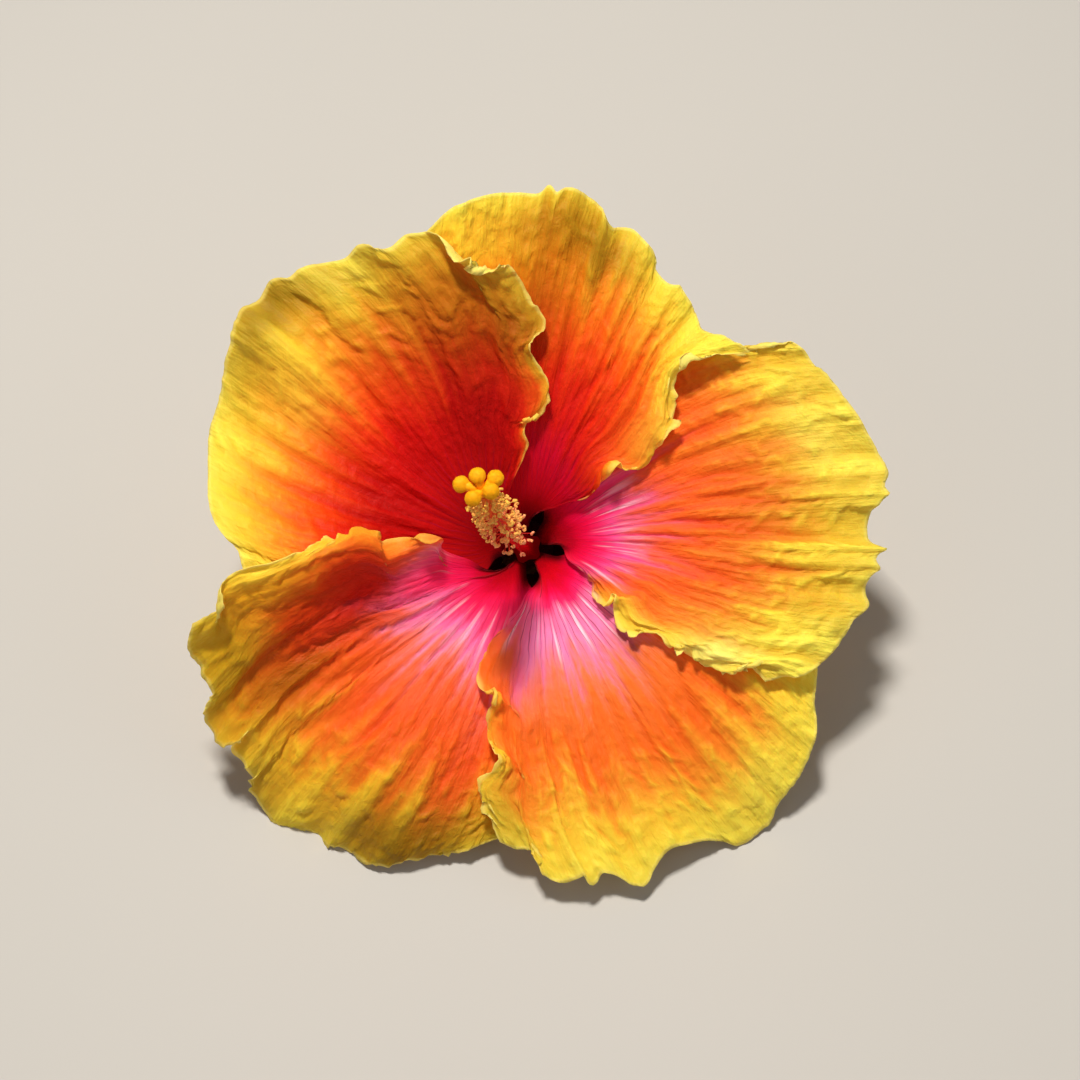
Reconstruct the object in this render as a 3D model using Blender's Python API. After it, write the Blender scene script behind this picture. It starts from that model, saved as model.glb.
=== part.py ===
# A hibiscus flower as picked, lying on its cut stalk and the lobes of its two lower petals.
#
# The flower is modelled about its own axis: the receptacle's flat top is at the origin, the axis is +Z,
# and the corolla opens upwards. The empty flower_axis then leans the whole flower to the way it rests.
# All dimensions are in millimetres and degrees, and meshes are made in metres.

import math

import bmesh
import bpy
import numpy as np
from mathutils import Matrix, Vector

MM = 0.001

# How the flower lies: its axis leans this far from upright, towards -Y.
LEAN = 32.5

# Half of the corolla's section, from the claws to the rim: radius, height above the receptacle.
CLAW_RADIUS = 3.6
COROLLA_SECTION = [
    (CLAW_RADIUS, 1.2), (3.7, 6), (4.0, 10.5), (5.0, 15.5), (6.7, 19.8), (9.2, 23.3), (13, 27),
    (20, 31.5), (30, 35), (45, 38), (62, 39), (84, 37),
]

# Broad swells that every petal follows: azimuth and radius of the middle, how wide, how high.
SWELLS = [
    (105, 88, 34, 15), (104, 82, 15, 4), (141, 68, 12, 4), (82, 74, 13, 4), (181, 40, 12, 5),
    (184, 60, 24, 12), (238, 56, 17, 6), (240, 92, 18, -5),
]
PETAL_THICKNESS = 0.6
PETAL_COLUMNS = 34
PETAL_ROWS = 14

# A petal's clockwise side lies on its neighbour and its other side lies under the other neighbour.
# The twist lifts one side and lowers the other, by these amounts at these radii.
TWIST_AT = [(5, 0.0), (8, 0.5), (12, 1.1), (20, 1.9), (40, 2.8), (84, 3.0)]

PLEATS = 8
PLEAT_HEIGHT = 0.55

# A side's bow, a lift at a side, the small waves of a side and a lift at the rim each fade inwards by
# these powers of the distance across or along the petal.
BOW_FALL = 2
EDGE_FALL = 6
WAVE_FALL = 8
RIM_FALL = 8

# Each petal: its colour, and its outline as azimuth, radius and lift off the section.
# "over" runs from the claw out along the clockwise side, "rim" on along the free end, and "under" runs
# from the claw out along the covered side to the end of the rim.
PETALS = {
    "petal_upper_left": {
        "colour": (0.90, 0.16, 0.03),
        "over": [
            (155, CLAW_RADIUS, 0), (154.5, 5, 0), (153, 7, 0), (144, 8.6, 0), (125, 10, 0.2),
            (111, 12.2, 0.4), (101, 15.6, 0.6), (91, 20.5, 1), (88, 23.4, 2), (92, 25.5, 2.5),
            (91, 28, 1.5), (84, 29.3, 2.5), (81, 34.3, 1), (83, 37.3, 0.5), (87.5, 41.4, 1.5),
            (88.5, 43.8, 3), (86.5, 46.3, 3.5), (85, 49.3, 2.5), (88, 52.1, 1), (89.5, 55.5, 0.5),
            (92, 58.5, 1), (95, 60.4, 2),
        ],
        "rim": [
            (95, 60.4, 2), (98, 59.6, 3.5), (101, 60.3, 4), (104, 62.6, 3), (105.5, 66.3, 1),
            (108.5, 67.9, -0.5), (111, 68.9, -0.5), (114, 67.8, 1.5), (117, 68.8, 2.5), (119, 71.6, 1),
            (122, 71.7, -1), (126, 74.4, -1), (129, 75.9, 0.5), (131.5, 76.2, 1.5), (134, 78.9, 0.5),
            (137, 78.2, -1), (139.5, 79.1, 0), (142, 78.3, 1), (145, 76.7, 1), (149, 75.6, 0),
            (154, 73.7, -1.5), (159, 72.9, -1.5), (166, 69.6, 0), (173, 66.4, 1), (178, 62.4, 1),
            (181, 60.1, 0), (185, 59.2, -1), (191, 56.9, -2),
        ],
        "under": [
            (199, CLAW_RADIUS, 0), (199.5, 5, 0), (201, 7, 0), (208, 8.6, 0), (214, 11, 0), (214, 15, 0),
            (211, 22, 0), (206, 31.9, -0.5), (200, 44.6, -1), (191, 56.9, -2),
        ],
    },
    "petal_top": {
        "colour": (0.91, 0.18, 0.03),
        "over": [
            (83, CLAW_RADIUS, 0), (82.5, 5, 0), (81, 7, 0), (73, 8.6, 0), (60, 10.5, 0.3),
            (46, 14.3, 0.6), (38, 19.5, 1.5), (39, 23, 2.5), (42, 26.7, 2.5), (37, 29, 1), (33, 31.7, 0),
            (36, 35.4, 1.5), (38, 38.5, 2.5), (40, 41.8, 2), (45, 44.5, 0.5), (49, 48.9, 0.5),
            (49.5, 52.5, 1.5), (47.5, 55.3, 2), (44, 60, 1), (41, 64.1, 0),
        ],
        "rim": [
            (41, 64.1, 0), (44, 62.8, 0.5), (48, 61.6, 0.5), (51, 60.2, -0.5), (54, 62.6, -1),
            (57, 63.9, 0.5), (59.5, 64.9, 1.5), (61.5, 64.3, 0.5), (64, 65.5, -1), (65.5, 68.6, 0),
            (68, 69.7, 1.5), (70, 70.9, 1), (72, 72, -0.5), (74, 70.5, 0.5), (76, 71.5, 1.5),
            (77.5, 73.8, 0.5), (79.5, 75.3, -0.5), (83, 75.8, 1), (85, 74.4, 1), (86.2, 76, 0),
            (87.5, 74.3, -0.5), (91, 74.2, -1), (95, 73.4, 0), (98.5, 72, 0.5), (102, 70.9, 0),
            (106, 69, -1), (110, 67, -2), (114, 63.9, -2.5),
        ],
        "under": [
            (127, CLAW_RADIUS, 0), (127.5, 5, 0), (129, 7, 0), (135, 8.6, 0), (139, 11, 0), (137, 15, 0),
            (133, 22, 0), (128, 32, -0.5), (123, 44.8, -1), (118, 56.4, -1.5), (114, 63.9, -2.5),
        ],
    },
    "petal_right": {
        "colour": (0.98, 0.42, 0.05),
        "over": [
            (11, CLAW_RADIUS, 0), (10.5, 5, 0), (9, 7, 0), (0, 8.6, 0), (-16, 10.5, 0.3),
            (-21, 13.4, 0.6), (-28, 17.5, 1), (-33, 21.4, 2), (-29.5, 23.1, 2.5), (-33, 24.2, 2.5),
            (-37, 26.4, 1.5), (-35.5, 29.5, 0.5), (-32, 34.7, 1.5), (-34, 38, 2), (-32, 40.5, 1),
            (-33.5, 42.5, 1.5), (-31, 48.8, 0.5), (-28, 53.2, 1.5), (-29, 58.9, 1),
        ],
        "rim": [
            (-29, 58.9, 1), (-27, 61.3, 0.5), (-25, 64.6, 1), (-21, 68, 0.5), (-18, 69.8, -0.5),
            (-15, 71, 0.5), (-12, 72, 1.5), (-9, 74.7, 0.5), (-7, 73.8, -1), (-5, 74.2, 0.5),
            (-3.5, 76, 1.5), (-1.5, 75.2, 0.5), (0, 77.6, 0.5), (1.8, 74.3, -1), (5, 74.8, -1.5),
            (7, 76.8, 0), (8.5, 79, 1), (10, 78.3, 0.5), (11.5, 79.6, 0), (15, 79.3, -1), (18, 78, -0.5),
            (21, 77.1, 0.5), (25, 75.9, 1), (30, 75.1, 0), (33, 73.9, -0.5), (36, 73.2, 0.5),
            (38.3, 71.8, 0.5), (39.5, 69, -0.5), (41, 65, -1.5), (44, 61, -2),
        ],
        "under": [
            (55, CLAW_RADIUS, 0), (55.5, 5, 0), (57, 7, 0), (63, 8.6, 0), (68, 11, 0), (69, 15, 0),
            (69, 22, 0), (67, 32, -0.5), (62, 42, -1), (54, 52, -1.5), (44, 61, -2),
        ],
    },
    "petal_bottom": {
        "colour": (0.98, 0.36, 0.06),
        "over": [
            (299, CLAW_RADIUS, 0), (298.5, 5, 0), (297, 7, 0), (287, 8.6, 0), (270, 11, 0.3),
            (264, 14.2, 0.6), (254, 20.3, 1.5), (252, 24.1, 2), (251, 29.4, 1.5), (254, 33.2, 2.5),
            (258.5, 34, 3.5), (257.5, 37, 2), (259, 41.9, 0.5), (263.5, 45.7, 2.5), (261, 49, 2),
            (259, 52, 0.5), (261, 56, 1), (263, 59.8, 1), (265, 63, 1),
        ],
        "rim": [
            (265, 63, 1), (268, 63.9, 1.5), (271, 64.3, 2.5), (273, 66.1, 3.5), (274.5, 69.6, 4),
            (276.5, 71, 4), (279, 70.3, 5), (280.7, 69.8, 5.5), (282, 72.2, 4.5), (283.3, 70.5, 4),
            (286, 71.8, 4), (289.5, 76, 3), (291.5, 73.8, 3), (293.5, 72, 3), (296, 71, 2.5),
            (299.5, 72.5, 0.5), (302.5, 74.8, -2), (304, 77, -4), (305.5, 80.3, -5.5), (308, 81, -6),
            (311.5, 81.2, -6), (314, 79.5, -5), (317, 78.2, -3.5), (320, 77.8, -2.5), (324, 76.1, -1),
            (328, 74.1, 0), (332, 70.7, 0), (335, 69.5, -1), (339, 68, -2), (342, 65, -2.5),
        ],
        "under": [
            (343, CLAW_RADIUS, 0), (343.5, 5, 0), (345, 7, 0), (351, 8.6, 0), (356, 11, 0), (356, 15, 0),
            (353, 25, 0), (349, 38, -0.5), (345, 50, -1.5), (342, 65, -2.5),
        ],
    },
    "petal_lower_left": {
        "colour": (0.93, 0.28, 0.05),
        "over": [
            (227, CLAW_RADIUS, 0), (226.5, 5, 0), (225, 7, 0), (218, 8.8, 0.1), (206, 11, 0.4),
            (192, 13.8, 0.8), (180, 19.5, 2), (171, 21.5, 4), (171, 24, 3.5), (176, 28, 2),
            (179.5, 30.8, 3), (173, 32.4, 5), (170, 35.9, 4), (173, 39.2, 3), (176.5, 42.7, 4),
            (181, 46.5, 2), (184, 52.8, 1.5), (184.5, 57.9, 2), (186, 61.5, 2.5), (189.3, 62.4, 3),
            (191.3, 62.7, 3), (192.7, 66.8, 2.5), (193.2, 70.8, 2),
        ],
        "rim": [
            (193.2, 70.8, 2),
            (195.4, 73, 1), (198, 74.8, -1), (200, 73.7, -1), (201.7, 74.3, 0), (203.4, 73.1, 1.5),
            (206, 74, 1), (208, 76.5, -1), (210, 79.5, -2), (212, 78.7, 0), (213, 75, 2),
            (214.5, 73.5, 2.5), (216, 75.6, 1), (219, 77, -1), (221, 78.3, -4), (221.7, 81, -6),
            (224, 82.4, -6.5), (226.5, 83.1, -7.1), (229, 82.7, -6.5), (232, 80.1, -5), (237, 78.3, -1.5),
            (243, 76.6, 1.5), (246.5, 75.4, 2), (250, 72.4, 1.5), (255, 69.5, 0), (260, 66, -1),
            (265, 63, -2), (270, 60, -2.5),
        ],
        "under": [
            (271, CLAW_RADIUS, 0), (271.5, 5, 0), (273, 7, 0), (279, 8.6, 0), (285, 11, 0), (285, 15, 0),
            (283, 25, 0), (279, 38, -0.5), (275, 50, -1.5), (270, 60, -2.5),
        ],
    },
}

# The column's centre line leans away from the axis: x, y, height.
COLUMN_LINE = [
    (0, 0, 0.5), (-0.2, 0.2, 12), (-0.9, 0.9, 25), (-2.5, 2.4, 40), (-4.7, 5.0, 54),
    (-6.6, 8.0, 65), (-7.8, 10.6, 73),
]
COLUMN_OUTER = [(0, 2.9), (0.07, 2.8), (0.16, 2.3), (0.26, 2.0), (0.6, 1.75), (0.9, 1.5), (1, 1.2)]
COLUMN_BORE = [(0, 2.3), (0.10, 2.2), (0.17, 1.6), (0.26, 1.1), (0.9, 0.85), (1, 0.85)]
COLUMN_SIDES = 12
STAMENS = 64
STAMEN_ZONE = (0.62, 0.95)
FILAMENT_LENGTH = 4.2
FILAMENT_FOOT = 1.25
# How far a stamen tips towards the column's end, for one unit outwards, at the lowest and the highest.
STAMEN_LEAN = (0.35, 0.1)
GOLDEN_ANGLE = math.radians(137.5)
ANTHER_RADIUS = 0.6

OVARY_RADIUS = 1.9
STYLE_RADIUS = 0.45
STYLE_PROUD = 1.6
STIGMA_RADIUS = 1.6
STIGMA_PADS = [
    (-12.4, 12.7, 76.2), (-9.2, 14.4, 76.8), (-5.6, 13.9, 76.2), (-10.0, 9.9, 77.2), (-6.5, 11.3, 77.6),
]
BRANCH_RADII = [0.45, 0.55, 0.6, 0.7, 0.8]

# The calyx cup: its section as radius and height, its lobes, and its wall.
CALYX_SECTION = [(6.2, 0.4), (7.2, 4), (8.4, 9), (10.1, 15), (12.6, 20.5), (15.6, 24.6), (18.2, 27.2)]
CALYX_WALL = 0.8
CALYX_LOBES = 5
CALYX_LOBE_AZIMUTH = 141
CALYX_NOTCH = 0.56

BRACTEOLES = 7
BRACTEOLE_LENGTH = 13
BRACTEOLE_WIDTH = 2.0
BRACTEOLE_THICKNESS = 0.6
BRACTEOLE_SPREAD = 42
BRACTEOLE_FOOT = (7.0, -1.2)

# The stalk's centre line and its radius at each point, from the cut end up to the receptacle's flat top.
STALK_LINE = [
    (0, 5.2, -12.0), (0, 3.6, -9.5), (0, 2.6, -8), (0, 1.9, -6.8), (0, 0.8, -4.4), (0, 0, -1.6), (0, 0, 0),
]
STALK_RADII = [1.6, 1.65, 2.3, 1.8, 2.6, 6.2, 6.9]


def curve_through(points, count):
    # Evenly spaced points on a smooth curve through the given ones (centripetal Catmull-Rom).
    points = np.array(points, float)
    ends = np.vstack([2 * points[0] - points[1], points, 2 * points[-1] - points[-2]])
    knots = np.append(0, np.cumsum(np.sqrt(np.linalg.norm(np.diff(ends, axis=0), axis=1))))
    runs = []
    for i in range(1, len(ends) - 2):
        a, b, c, d = ends[i - 1:i + 3]
        ta, tb, tc, td = knots[i - 1:i + 3]
        t = np.linspace(tb, tc, 16)[:, None]
        ab = a + (b - a) * (t - ta) / (tb - ta)
        bc = b + (c - b) * (t - tb) / (tc - tb)
        cd = c + (d - c) * (t - tc) / (td - tc)
        abc = ab + (bc - ab) * (t - ta) / (tc - ta)
        bcd = bc + (cd - bc) * (t - tb) / (td - tb)
        runs.append(abc + (bcd - abc) * (t - tb) / (tc - tb))
    run = np.concatenate(runs)
    along = np.append(0, np.cumsum(np.linalg.norm(np.diff(run, axis=0), axis=1)))
    stations = np.linspace(0, along[-1], count)
    return np.column_stack([np.interp(stations, along, column) for column in run.T])


def stepped(pairs, at):
    # The value between the given (place, value) pairs.
    places, values = zip(*pairs)
    return np.interp(at, places, values)


class Section:
    # A turned surface's section, read by the distance along it.
    def __init__(self, points):
        run = curve_through(points, 300)
        self.radius, self.height = run.T
        self.along = np.append(0, np.cumsum(np.linalg.norm(np.diff(run, axis=0), axis=1)))
        slope = np.gradient(run, self.along, axis=0)
        self.inward = np.column_stack([-slope[:, 1], slope[:, 0]])

    def distance(self, radius):
        return np.interp(radius, self.radius, self.along)

    def place(self, azimuth, distance, lift):
        # The point at this azimuth and distance, lifted off the surface on its inner, upper side.
        inward_r = np.interp(distance, self.along, self.inward[:, 0])
        inward_z = np.interp(distance, self.along, self.inward[:, 1])
        radius = np.interp(distance, self.along, self.radius) + lift * inward_r
        height = np.interp(distance, self.along, self.height) + lift * inward_z
        return np.stack([radius * np.cos(azimuth), radius * np.sin(azimuth), height], axis=-1)


COROLLA = Section(COROLLA_SECTION)


def flat_place(azimuth, radius):
    # A place on the corolla rolled out flat: as far from the centre as it is along the section.
    reach = CLAW_RADIUS + COROLLA.distance(radius)
    angle = math.radians(azimuth)
    return reach * math.cos(angle), reach * math.sin(angle)


def flat_edge(outline, count):
    flat = [(*flat_place(azimuth, radius), lift) for azimuth, radius, lift in outline]
    return curve_through(flat, 40 * count)


def swell_height(flat):
    # How high the swells raise each flat place.
    height = np.zeros(flat.shape[:-1])
    for azimuth, radius, size, top in SWELLS:
        away = flat - np.array(flat_place(azimuth, radius))
        height += top * np.exp(-(away ** 2).sum(axis=-1) / size ** 2)
    return height


def read_edge(edge, fractions):
    stations = np.linspace(0, 1, len(edge))
    return np.column_stack([np.interp(fractions, stations, column) for column in edge.T])


def bow_and_waves(pull, v):
    # Splits how far a side stands from a straight line into one smooth bow and the small waves on it.
    basis = np.column_stack([v * (1 - v), v * v * (1 - v)])
    bow = basis @ np.linalg.lstsq(basis, pull, rcond=None)[0]
    return bow, pull - bow


def petal_grid(shape):
    # The petal's middle surface: rows from the claw to the rim, columns from the over to the under side.
    u = np.linspace(0, 1, PETAL_COLUMNS)
    u = 0.7 * u + 0.3 * (0.5 - 0.5 * np.cos(math.pi * u))
    v = np.linspace(0, 1, PETAL_ROWS) ** 1.15
    over = read_edge(flat_edge(shape["over"], PETAL_ROWS), v)
    under = read_edge(flat_edge(shape["under"], PETAL_ROWS), v)
    rim = read_edge(flat_edge(shape["rim"], PETAL_COLUMNS), u)
    across, out = np.meshgrid(u, v)
    across, out = across[..., None], out[..., None]

    # Straight veins from claw to rim, then both sides drawn in or out to their own outlines.
    claw = over[0, :2] * (1 - across) + under[0, :2] * across
    veins = claw * (1 - out) + rim[None, :, :2] * out
    flat = veins.copy()
    for edge, straight, near in ((over, veins[:, 0], 1 - across), (under, veins[:, -1], across)):
        bow, waves = bow_and_waves(edge[:, :2] - straight, v)
        flat += bow[:, None] * near ** BOW_FALL + waves[:, None] * near ** WAVE_FALL

    azimuth = np.arctan2(flat[..., 1], flat[..., 0])
    distance = np.hypot(flat[..., 0], flat[..., 1]) - CLAW_RADIUS
    distance = np.clip(distance, 0, COROLLA.along[-1])
    across, out = across[..., 0], out[..., 0]
    over_near, under_near, rim_near = (1 - across) ** EDGE_FALL, across ** EDGE_FALL, out ** RIM_FALL
    lift = over_near * over[:, 2:] + under_near * under[:, 2:]
    lift += rim_near * (rim[None, :, 2] - over_near * over[-1, 2] - under_near * under[-1, 2])
    radius = np.interp(distance, COROLLA.along, COROLLA.radius)
    lift += stepped(TWIST_AT, radius) * (1 - 2 * across) + swell_height(flat)
    rise = np.clip((out - 0.15) / 0.3, 0, 1)
    inside = np.clip(8 * across * (1 - across), 0, 1)
    lift += PLEAT_HEIGHT * rise * inside * np.cos(2 * math.pi * PLEATS * across)
    return COROLLA.place(azimuth, distance, lift)


def material(name, colour, roughness):
    finish = bpy.data.materials.new(name)
    finish.use_nodes = True
    shader = finish.node_tree.nodes["Principled BSDF"]
    shader.inputs["Base Color"].default_value = (*colour, 1)
    shader.inputs["Roughness"].default_value = roughness
    shader.inputs["Metallic"].default_value = 0
    return finish


def new_object(name, shape, finish):
    mesh = bpy.data.meshes.new(name)
    bmesh.ops.recalc_face_normals(shape, faces=shape.faces)
    shape.to_mesh(mesh)
    shape.free()
    mesh.materials.append(finish)
    mesh.shade_smooth()
    piece = bpy.data.objects.new(name, mesh)
    bpy.context.scene.collection.objects.link(piece)
    return piece


def sheet(name, grid, thickness, finish, wrap=False):
    # A thin leaf or wall: a grid of points given its thickness on both sides.
    shape = bmesh.new()
    rows = [[shape.verts.new(Vector(point) * MM) for point in row] for row in grid]
    for low, high in zip(rows, rows[1:]):
        pairs = list(zip(low, high))
        for here, there in zip(pairs, pairs[1:] + pairs[:1] * wrap):
            shape.faces.new((here[0], there[0], there[1], here[1]))
    piece = new_object(name, shape, finish)
    wall = piece.modifiers.new("thickness", "SOLIDIFY")
    wall.thickness = thickness * MM
    wall.offset = 0
    return piece


def ring(centre, direction, radius, sides):
    turn = Vector(direction).to_track_quat("Z", "Y")
    spokes = [2 * math.pi * i / sides for i in range(sides)]
    return [Vector(centre) + turn @ Vector((radius * math.cos(a), radius * math.sin(a), 0)) for a in spokes]


def rings_along(path, radii, sides):
    path = np.array(path, float)
    directions = np.gradient(path, axis=0)
    return [ring(point, way, radius, sides) for point, way, radius in zip(path, directions, radii)]


def add_skin(shape, rings, loop=False):
    # Faces between neighbouring rings, with a flat cap on each end or the last ring joined to the first.
    loops = [[shape.verts.new(point * MM) for point in points] for points in rings]
    for low, high in zip(loops, loops[1:] + loops[:1] * loop):
        for i in range(len(low)):
            j = (i + 1) % len(low)
            shape.faces.new((low[i], low[j], high[j], high[i]))
    if not loop:
        shape.faces.new(loops[0][::-1])
        shape.faces.new(loops[-1])


def add_ball(shape, centre, radii, turn, detail=1):
    place = Matrix.Translation(Vector(centre) * MM) @ turn.to_matrix().to_4x4()
    place = place @ Matrix.Diagonal((*[radius * MM for radius in radii], 1))
    bmesh.ops.create_icosphere(shape, subdivisions=detail, radius=1, matrix=place)


def unite(piece, helper):
    # Joins the helper's pieces to the main piece in one solid.
    helper.hide_render = True
    helper.display_type = "WIRE"
    union = piece.modifiers.new("union", "BOOLEAN")
    union.operation = "UNION"
    union.solver = "EXACT"
    union.use_self = True
    union.object = helper


def column_frame(fraction):
    # A point on the column's centre line, and the turn that takes +Z to the line's direction there.
    line = curve_through(COLUMN_LINE, 101)
    ways = np.gradient(line, axis=0)
    index = round(100 * fraction)
    return Vector(line[index]), Vector(ways[index]).to_track_quat("Z", "Y")


def make_column(finish):
    # The tube round the ovary and style, open at its top.
    fractions = [0, 0.04, 0.08, 0.12, 0.17, 0.22, 0.28, 0.4, 0.52, 0.64, 0.76, 0.88, 0.96, 1]
    line = read_edge(curve_through(COLUMN_LINE, 101), fractions)
    outer = rings_along(line, [stepped(COLUMN_OUTER, f) for f in fractions], COLUMN_SIDES)
    bore = rings_along(line, [stepped(COLUMN_BORE, f) for f in fractions], COLUMN_SIDES)
    shape = bmesh.new()
    add_skin(shape, outer + bore[::-1], loop=True)
    tube = new_object("staminal_column", shape, finish)

    # The stamens, in a spiral: each a thin filament with an anther on its end.
    shape = bmesh.new()
    low, high = STAMEN_ZONE
    for i in range(STAMENS):
        part = i / (STAMENS - 1)
        centre, turn = column_frame(low + (high - low) * part)
        around = i * GOLDEN_ANGLE
        lean = STAMEN_LEAN[0] * (1 - part) + STAMEN_LEAN[1] * part
        out = turn @ Vector((math.cos(around), math.sin(around), lean))
        length = FILAMENT_LENGTH * (0.85 + 0.25 * math.sin(2.4 * i)) * (1 - 0.25 * part)
        foot = centre + out * FILAMENT_FOOT
        tip = centre + out * (FILAMENT_FOOT + length)
        add_skin(shape, rings_along([foot, tip], [0.28, 0.22], 5))
        add_ball(shape, tip, (ANTHER_RADIUS, ANTHER_RADIUS, 0.8 * ANTHER_RADIUS), turn)
    unite(tube, new_object("stamens", shape, finish))
    return tube


def make_pistil(finish):
    # Ovary and style on one line, a little proud of the column's end, where five branches spread.
    line = curve_through(COLUMN_LINE, 101)
    fractions = [0, 0.015, 0.04, 0.07, 0.095, 0.12, 0.15, 0.28, 0.4, 0.52, 0.64, 0.76, 0.88, 1]
    girth = [0.8, 0.96, 1, 0.85, 0.5, 0.2]
    radii = [OVARY_RADIUS * part for part in girth] + [STYLE_RADIUS] * (len(fractions) - len(girth))
    path = list(read_edge(line, fractions))
    end, turn = column_frame(1)
    up = turn @ Vector((0, 0, 1))
    path.append(end + up * STYLE_PROUD)
    radii.append(STYLE_RADIUS)
    shape = bmesh.new()
    add_skin(shape, rings_along(path, radii, 12))
    style = new_object("pistil", shape, finish)

    shape = bmesh.new()
    fork = end + up * (STYLE_PROUD - 0.6)
    for pad in map(Vector, STIGMA_PADS):
        knee = fork + (pad - fork) * 0.45 + up * 0.9
        branch = curve_through([fork, knee, pad], len(BRANCH_RADII))
        add_skin(shape, rings_along(branch, BRANCH_RADII, 8))
        add_ball(shape, pad, (STIGMA_RADIUS, STIGMA_RADIUS, 0.85 * STIGMA_RADIUS), turn, detail=2)
    unite(style, new_object("stigma_branches", shape, finish))
    return style


def make_calyx(finish):
    section = Section(CALYX_SECTION)
    columns, rows = 6 * CALYX_LOBES, 8
    grid = []
    for row in range(rows):
        azimuth = np.linspace(0, 2 * math.pi, columns, endpoint=False)
        swing = CALYX_LOBES * (azimuth - math.radians(CALYX_LOBE_AZIMUTH)) / 2
        top = CALYX_NOTCH + (1 - CALYX_NOTCH) * np.abs(np.cos(swing)) ** 0.8
        distance = section.along[-1] * top * row / (rows - 1)
        grid.append(section.place(azimuth, distance, np.zeros(columns)))
    return sheet("calyx", grid, CALYX_WALL, finish, wrap=True)


def make_bracteole(number, finish):
    # A narrow leaf that springs from the receptacle's side and spreads outside the calyx.
    azimuth = 2 * math.pi * number / BRACTEOLES
    outward = Vector((math.cos(azimuth), math.sin(azimuth), 0))
    across = Vector((-math.sin(azimuth), math.cos(azimuth), 0))
    grid = []
    for step in range(9):
        part = step / 8
        spread = math.radians(BRACTEOLE_SPREAD * (1.35 - 0.7 * part))
        middle = outward * BRACTEOLE_FOOT[0] + Vector((0, 0, BRACTEOLE_FOOT[1]))
        middle += (outward * math.sin(spread) + Vector((0, 0, math.cos(spread)))) * BRACTEOLE_LENGTH * part
        width = BRACTEOLE_WIDTH / 2 * (0.55 + 1.4 * part) * (1 - part) ** 0.7 + 0.15
        grid.append([middle + across * width * side for side in (-1, 0, 1)])
    return sheet(f"bracteole_{number + 1}", grid, BRACTEOLE_THICKNESS, finish)


def make_stalk(finish):
    shape = bmesh.new()
    line = [Vector(point) for point in STALK_LINE]
    rings = rings_along(line, STALK_RADII, 24)
    rings[-1] = ring(line[-1], (0, 0, 1), STALK_RADII[-1], 24)
    add_skin(shape, rings)
    return new_object("flower_stalk", shape, finish)


def lay_down(pieces):
    # Leans every piece with the flower and sets it on the ground, centred over the origin.
    axis = bpy.data.objects.new("flower_axis", None)
    bpy.context.scene.collection.objects.link(axis)
    axis.rotation_euler.x = math.radians(LEAN)
    for piece in pieces:
        piece.parent = axis
    bpy.context.view_layer.update()
    graph = bpy.context.evaluated_depsgraph_get()
    points = []
    for piece in pieces:
        if not piece.hide_render:
            shown = piece.evaluated_get(graph)
            points += [shown.matrix_world @ vertex.co for vertex in shown.data.vertices]
    low = Vector(min(point[i] for point in points) for i in range(3))
    high = Vector(max(point[i] for point in points) for i in range(3))
    axis.location = (-(low.x + high.x) / 2, -(low.y + high.y) / 2, -low.z)


def main():
    for thing in list(bpy.data.objects):
        bpy.data.objects.remove(thing)

    green = material("sepal_green", (0.16, 0.27, 0.06), 0.55)
    for name, shape in PETALS.items():
        sheet(name, petal_grid(shape), PETAL_THICKNESS, material(name, shape["colour"], 0.6))
    make_column(material("column_red", (0.72, 0.10, 0.04), 0.5))
    make_pistil(material("stigma_yellow", (0.98, 0.62, 0.03), 0.7))
    make_calyx(green)
    for number in range(BRACTEOLES):
        make_bracteole(number, green)
    make_stalk(green)
    lay_down(list(bpy.data.objects))


main()
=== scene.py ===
# The looks of an open hibiscus flower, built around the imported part.
# The flower is made about its own axis, in millimetres: the receptacle's flat top is at the origin and
# the corolla opens towards +Z. Each finished mesh is then laid down the way the part lies.

import math

import bpy
import numpy as np
from mathutils import Matrix, Vector


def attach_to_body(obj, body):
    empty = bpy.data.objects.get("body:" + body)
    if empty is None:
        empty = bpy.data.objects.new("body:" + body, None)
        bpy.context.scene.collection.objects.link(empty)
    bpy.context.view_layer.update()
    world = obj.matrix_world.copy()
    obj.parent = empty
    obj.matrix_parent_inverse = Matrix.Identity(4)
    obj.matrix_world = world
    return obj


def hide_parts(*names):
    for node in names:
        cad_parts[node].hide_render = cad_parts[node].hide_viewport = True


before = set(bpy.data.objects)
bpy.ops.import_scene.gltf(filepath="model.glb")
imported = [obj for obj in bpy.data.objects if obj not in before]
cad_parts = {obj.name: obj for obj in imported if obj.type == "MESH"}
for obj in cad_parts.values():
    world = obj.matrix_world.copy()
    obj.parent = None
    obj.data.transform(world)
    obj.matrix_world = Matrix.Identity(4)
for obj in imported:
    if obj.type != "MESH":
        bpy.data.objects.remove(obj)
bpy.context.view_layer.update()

mm = 0.001
lean = math.radians(32.5)   # how far the flower's axis leans from upright, towards -Y
fullTurn = 2 * math.pi
goldenTurn = math.radians(137.5)
noiseSpread = 2.6           # brings a noise that stays near its middle to about -1 to 1
weldGap = 0.001             # points closer than this, in millimetres, become one


def findSeat():
    # the middle of the flat top of the stalk, where the flower's own axis starts
    flatness = 0.02 * mm
    axis = Vector((0, -math.sin(lean), math.cos(lean)))
    points = [vertex.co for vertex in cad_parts["flower_stalk"].data.vertices]
    top = max(point.dot(axis) for point in points) - flatness
    rim = np.array([point for point in points if point.dot(axis) > top])
    return Vector((rim.min(0) + rim.max(0)) / 2)


seat = findSeat()
laidDown = Matrix.Translation(seat) @ Matrix.Rotation(lean, 4, "X") @ Matrix.Scale(mm, 4)
print("seat of the flower, mm:", [round(value / mm, 2) for value in seat])


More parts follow.
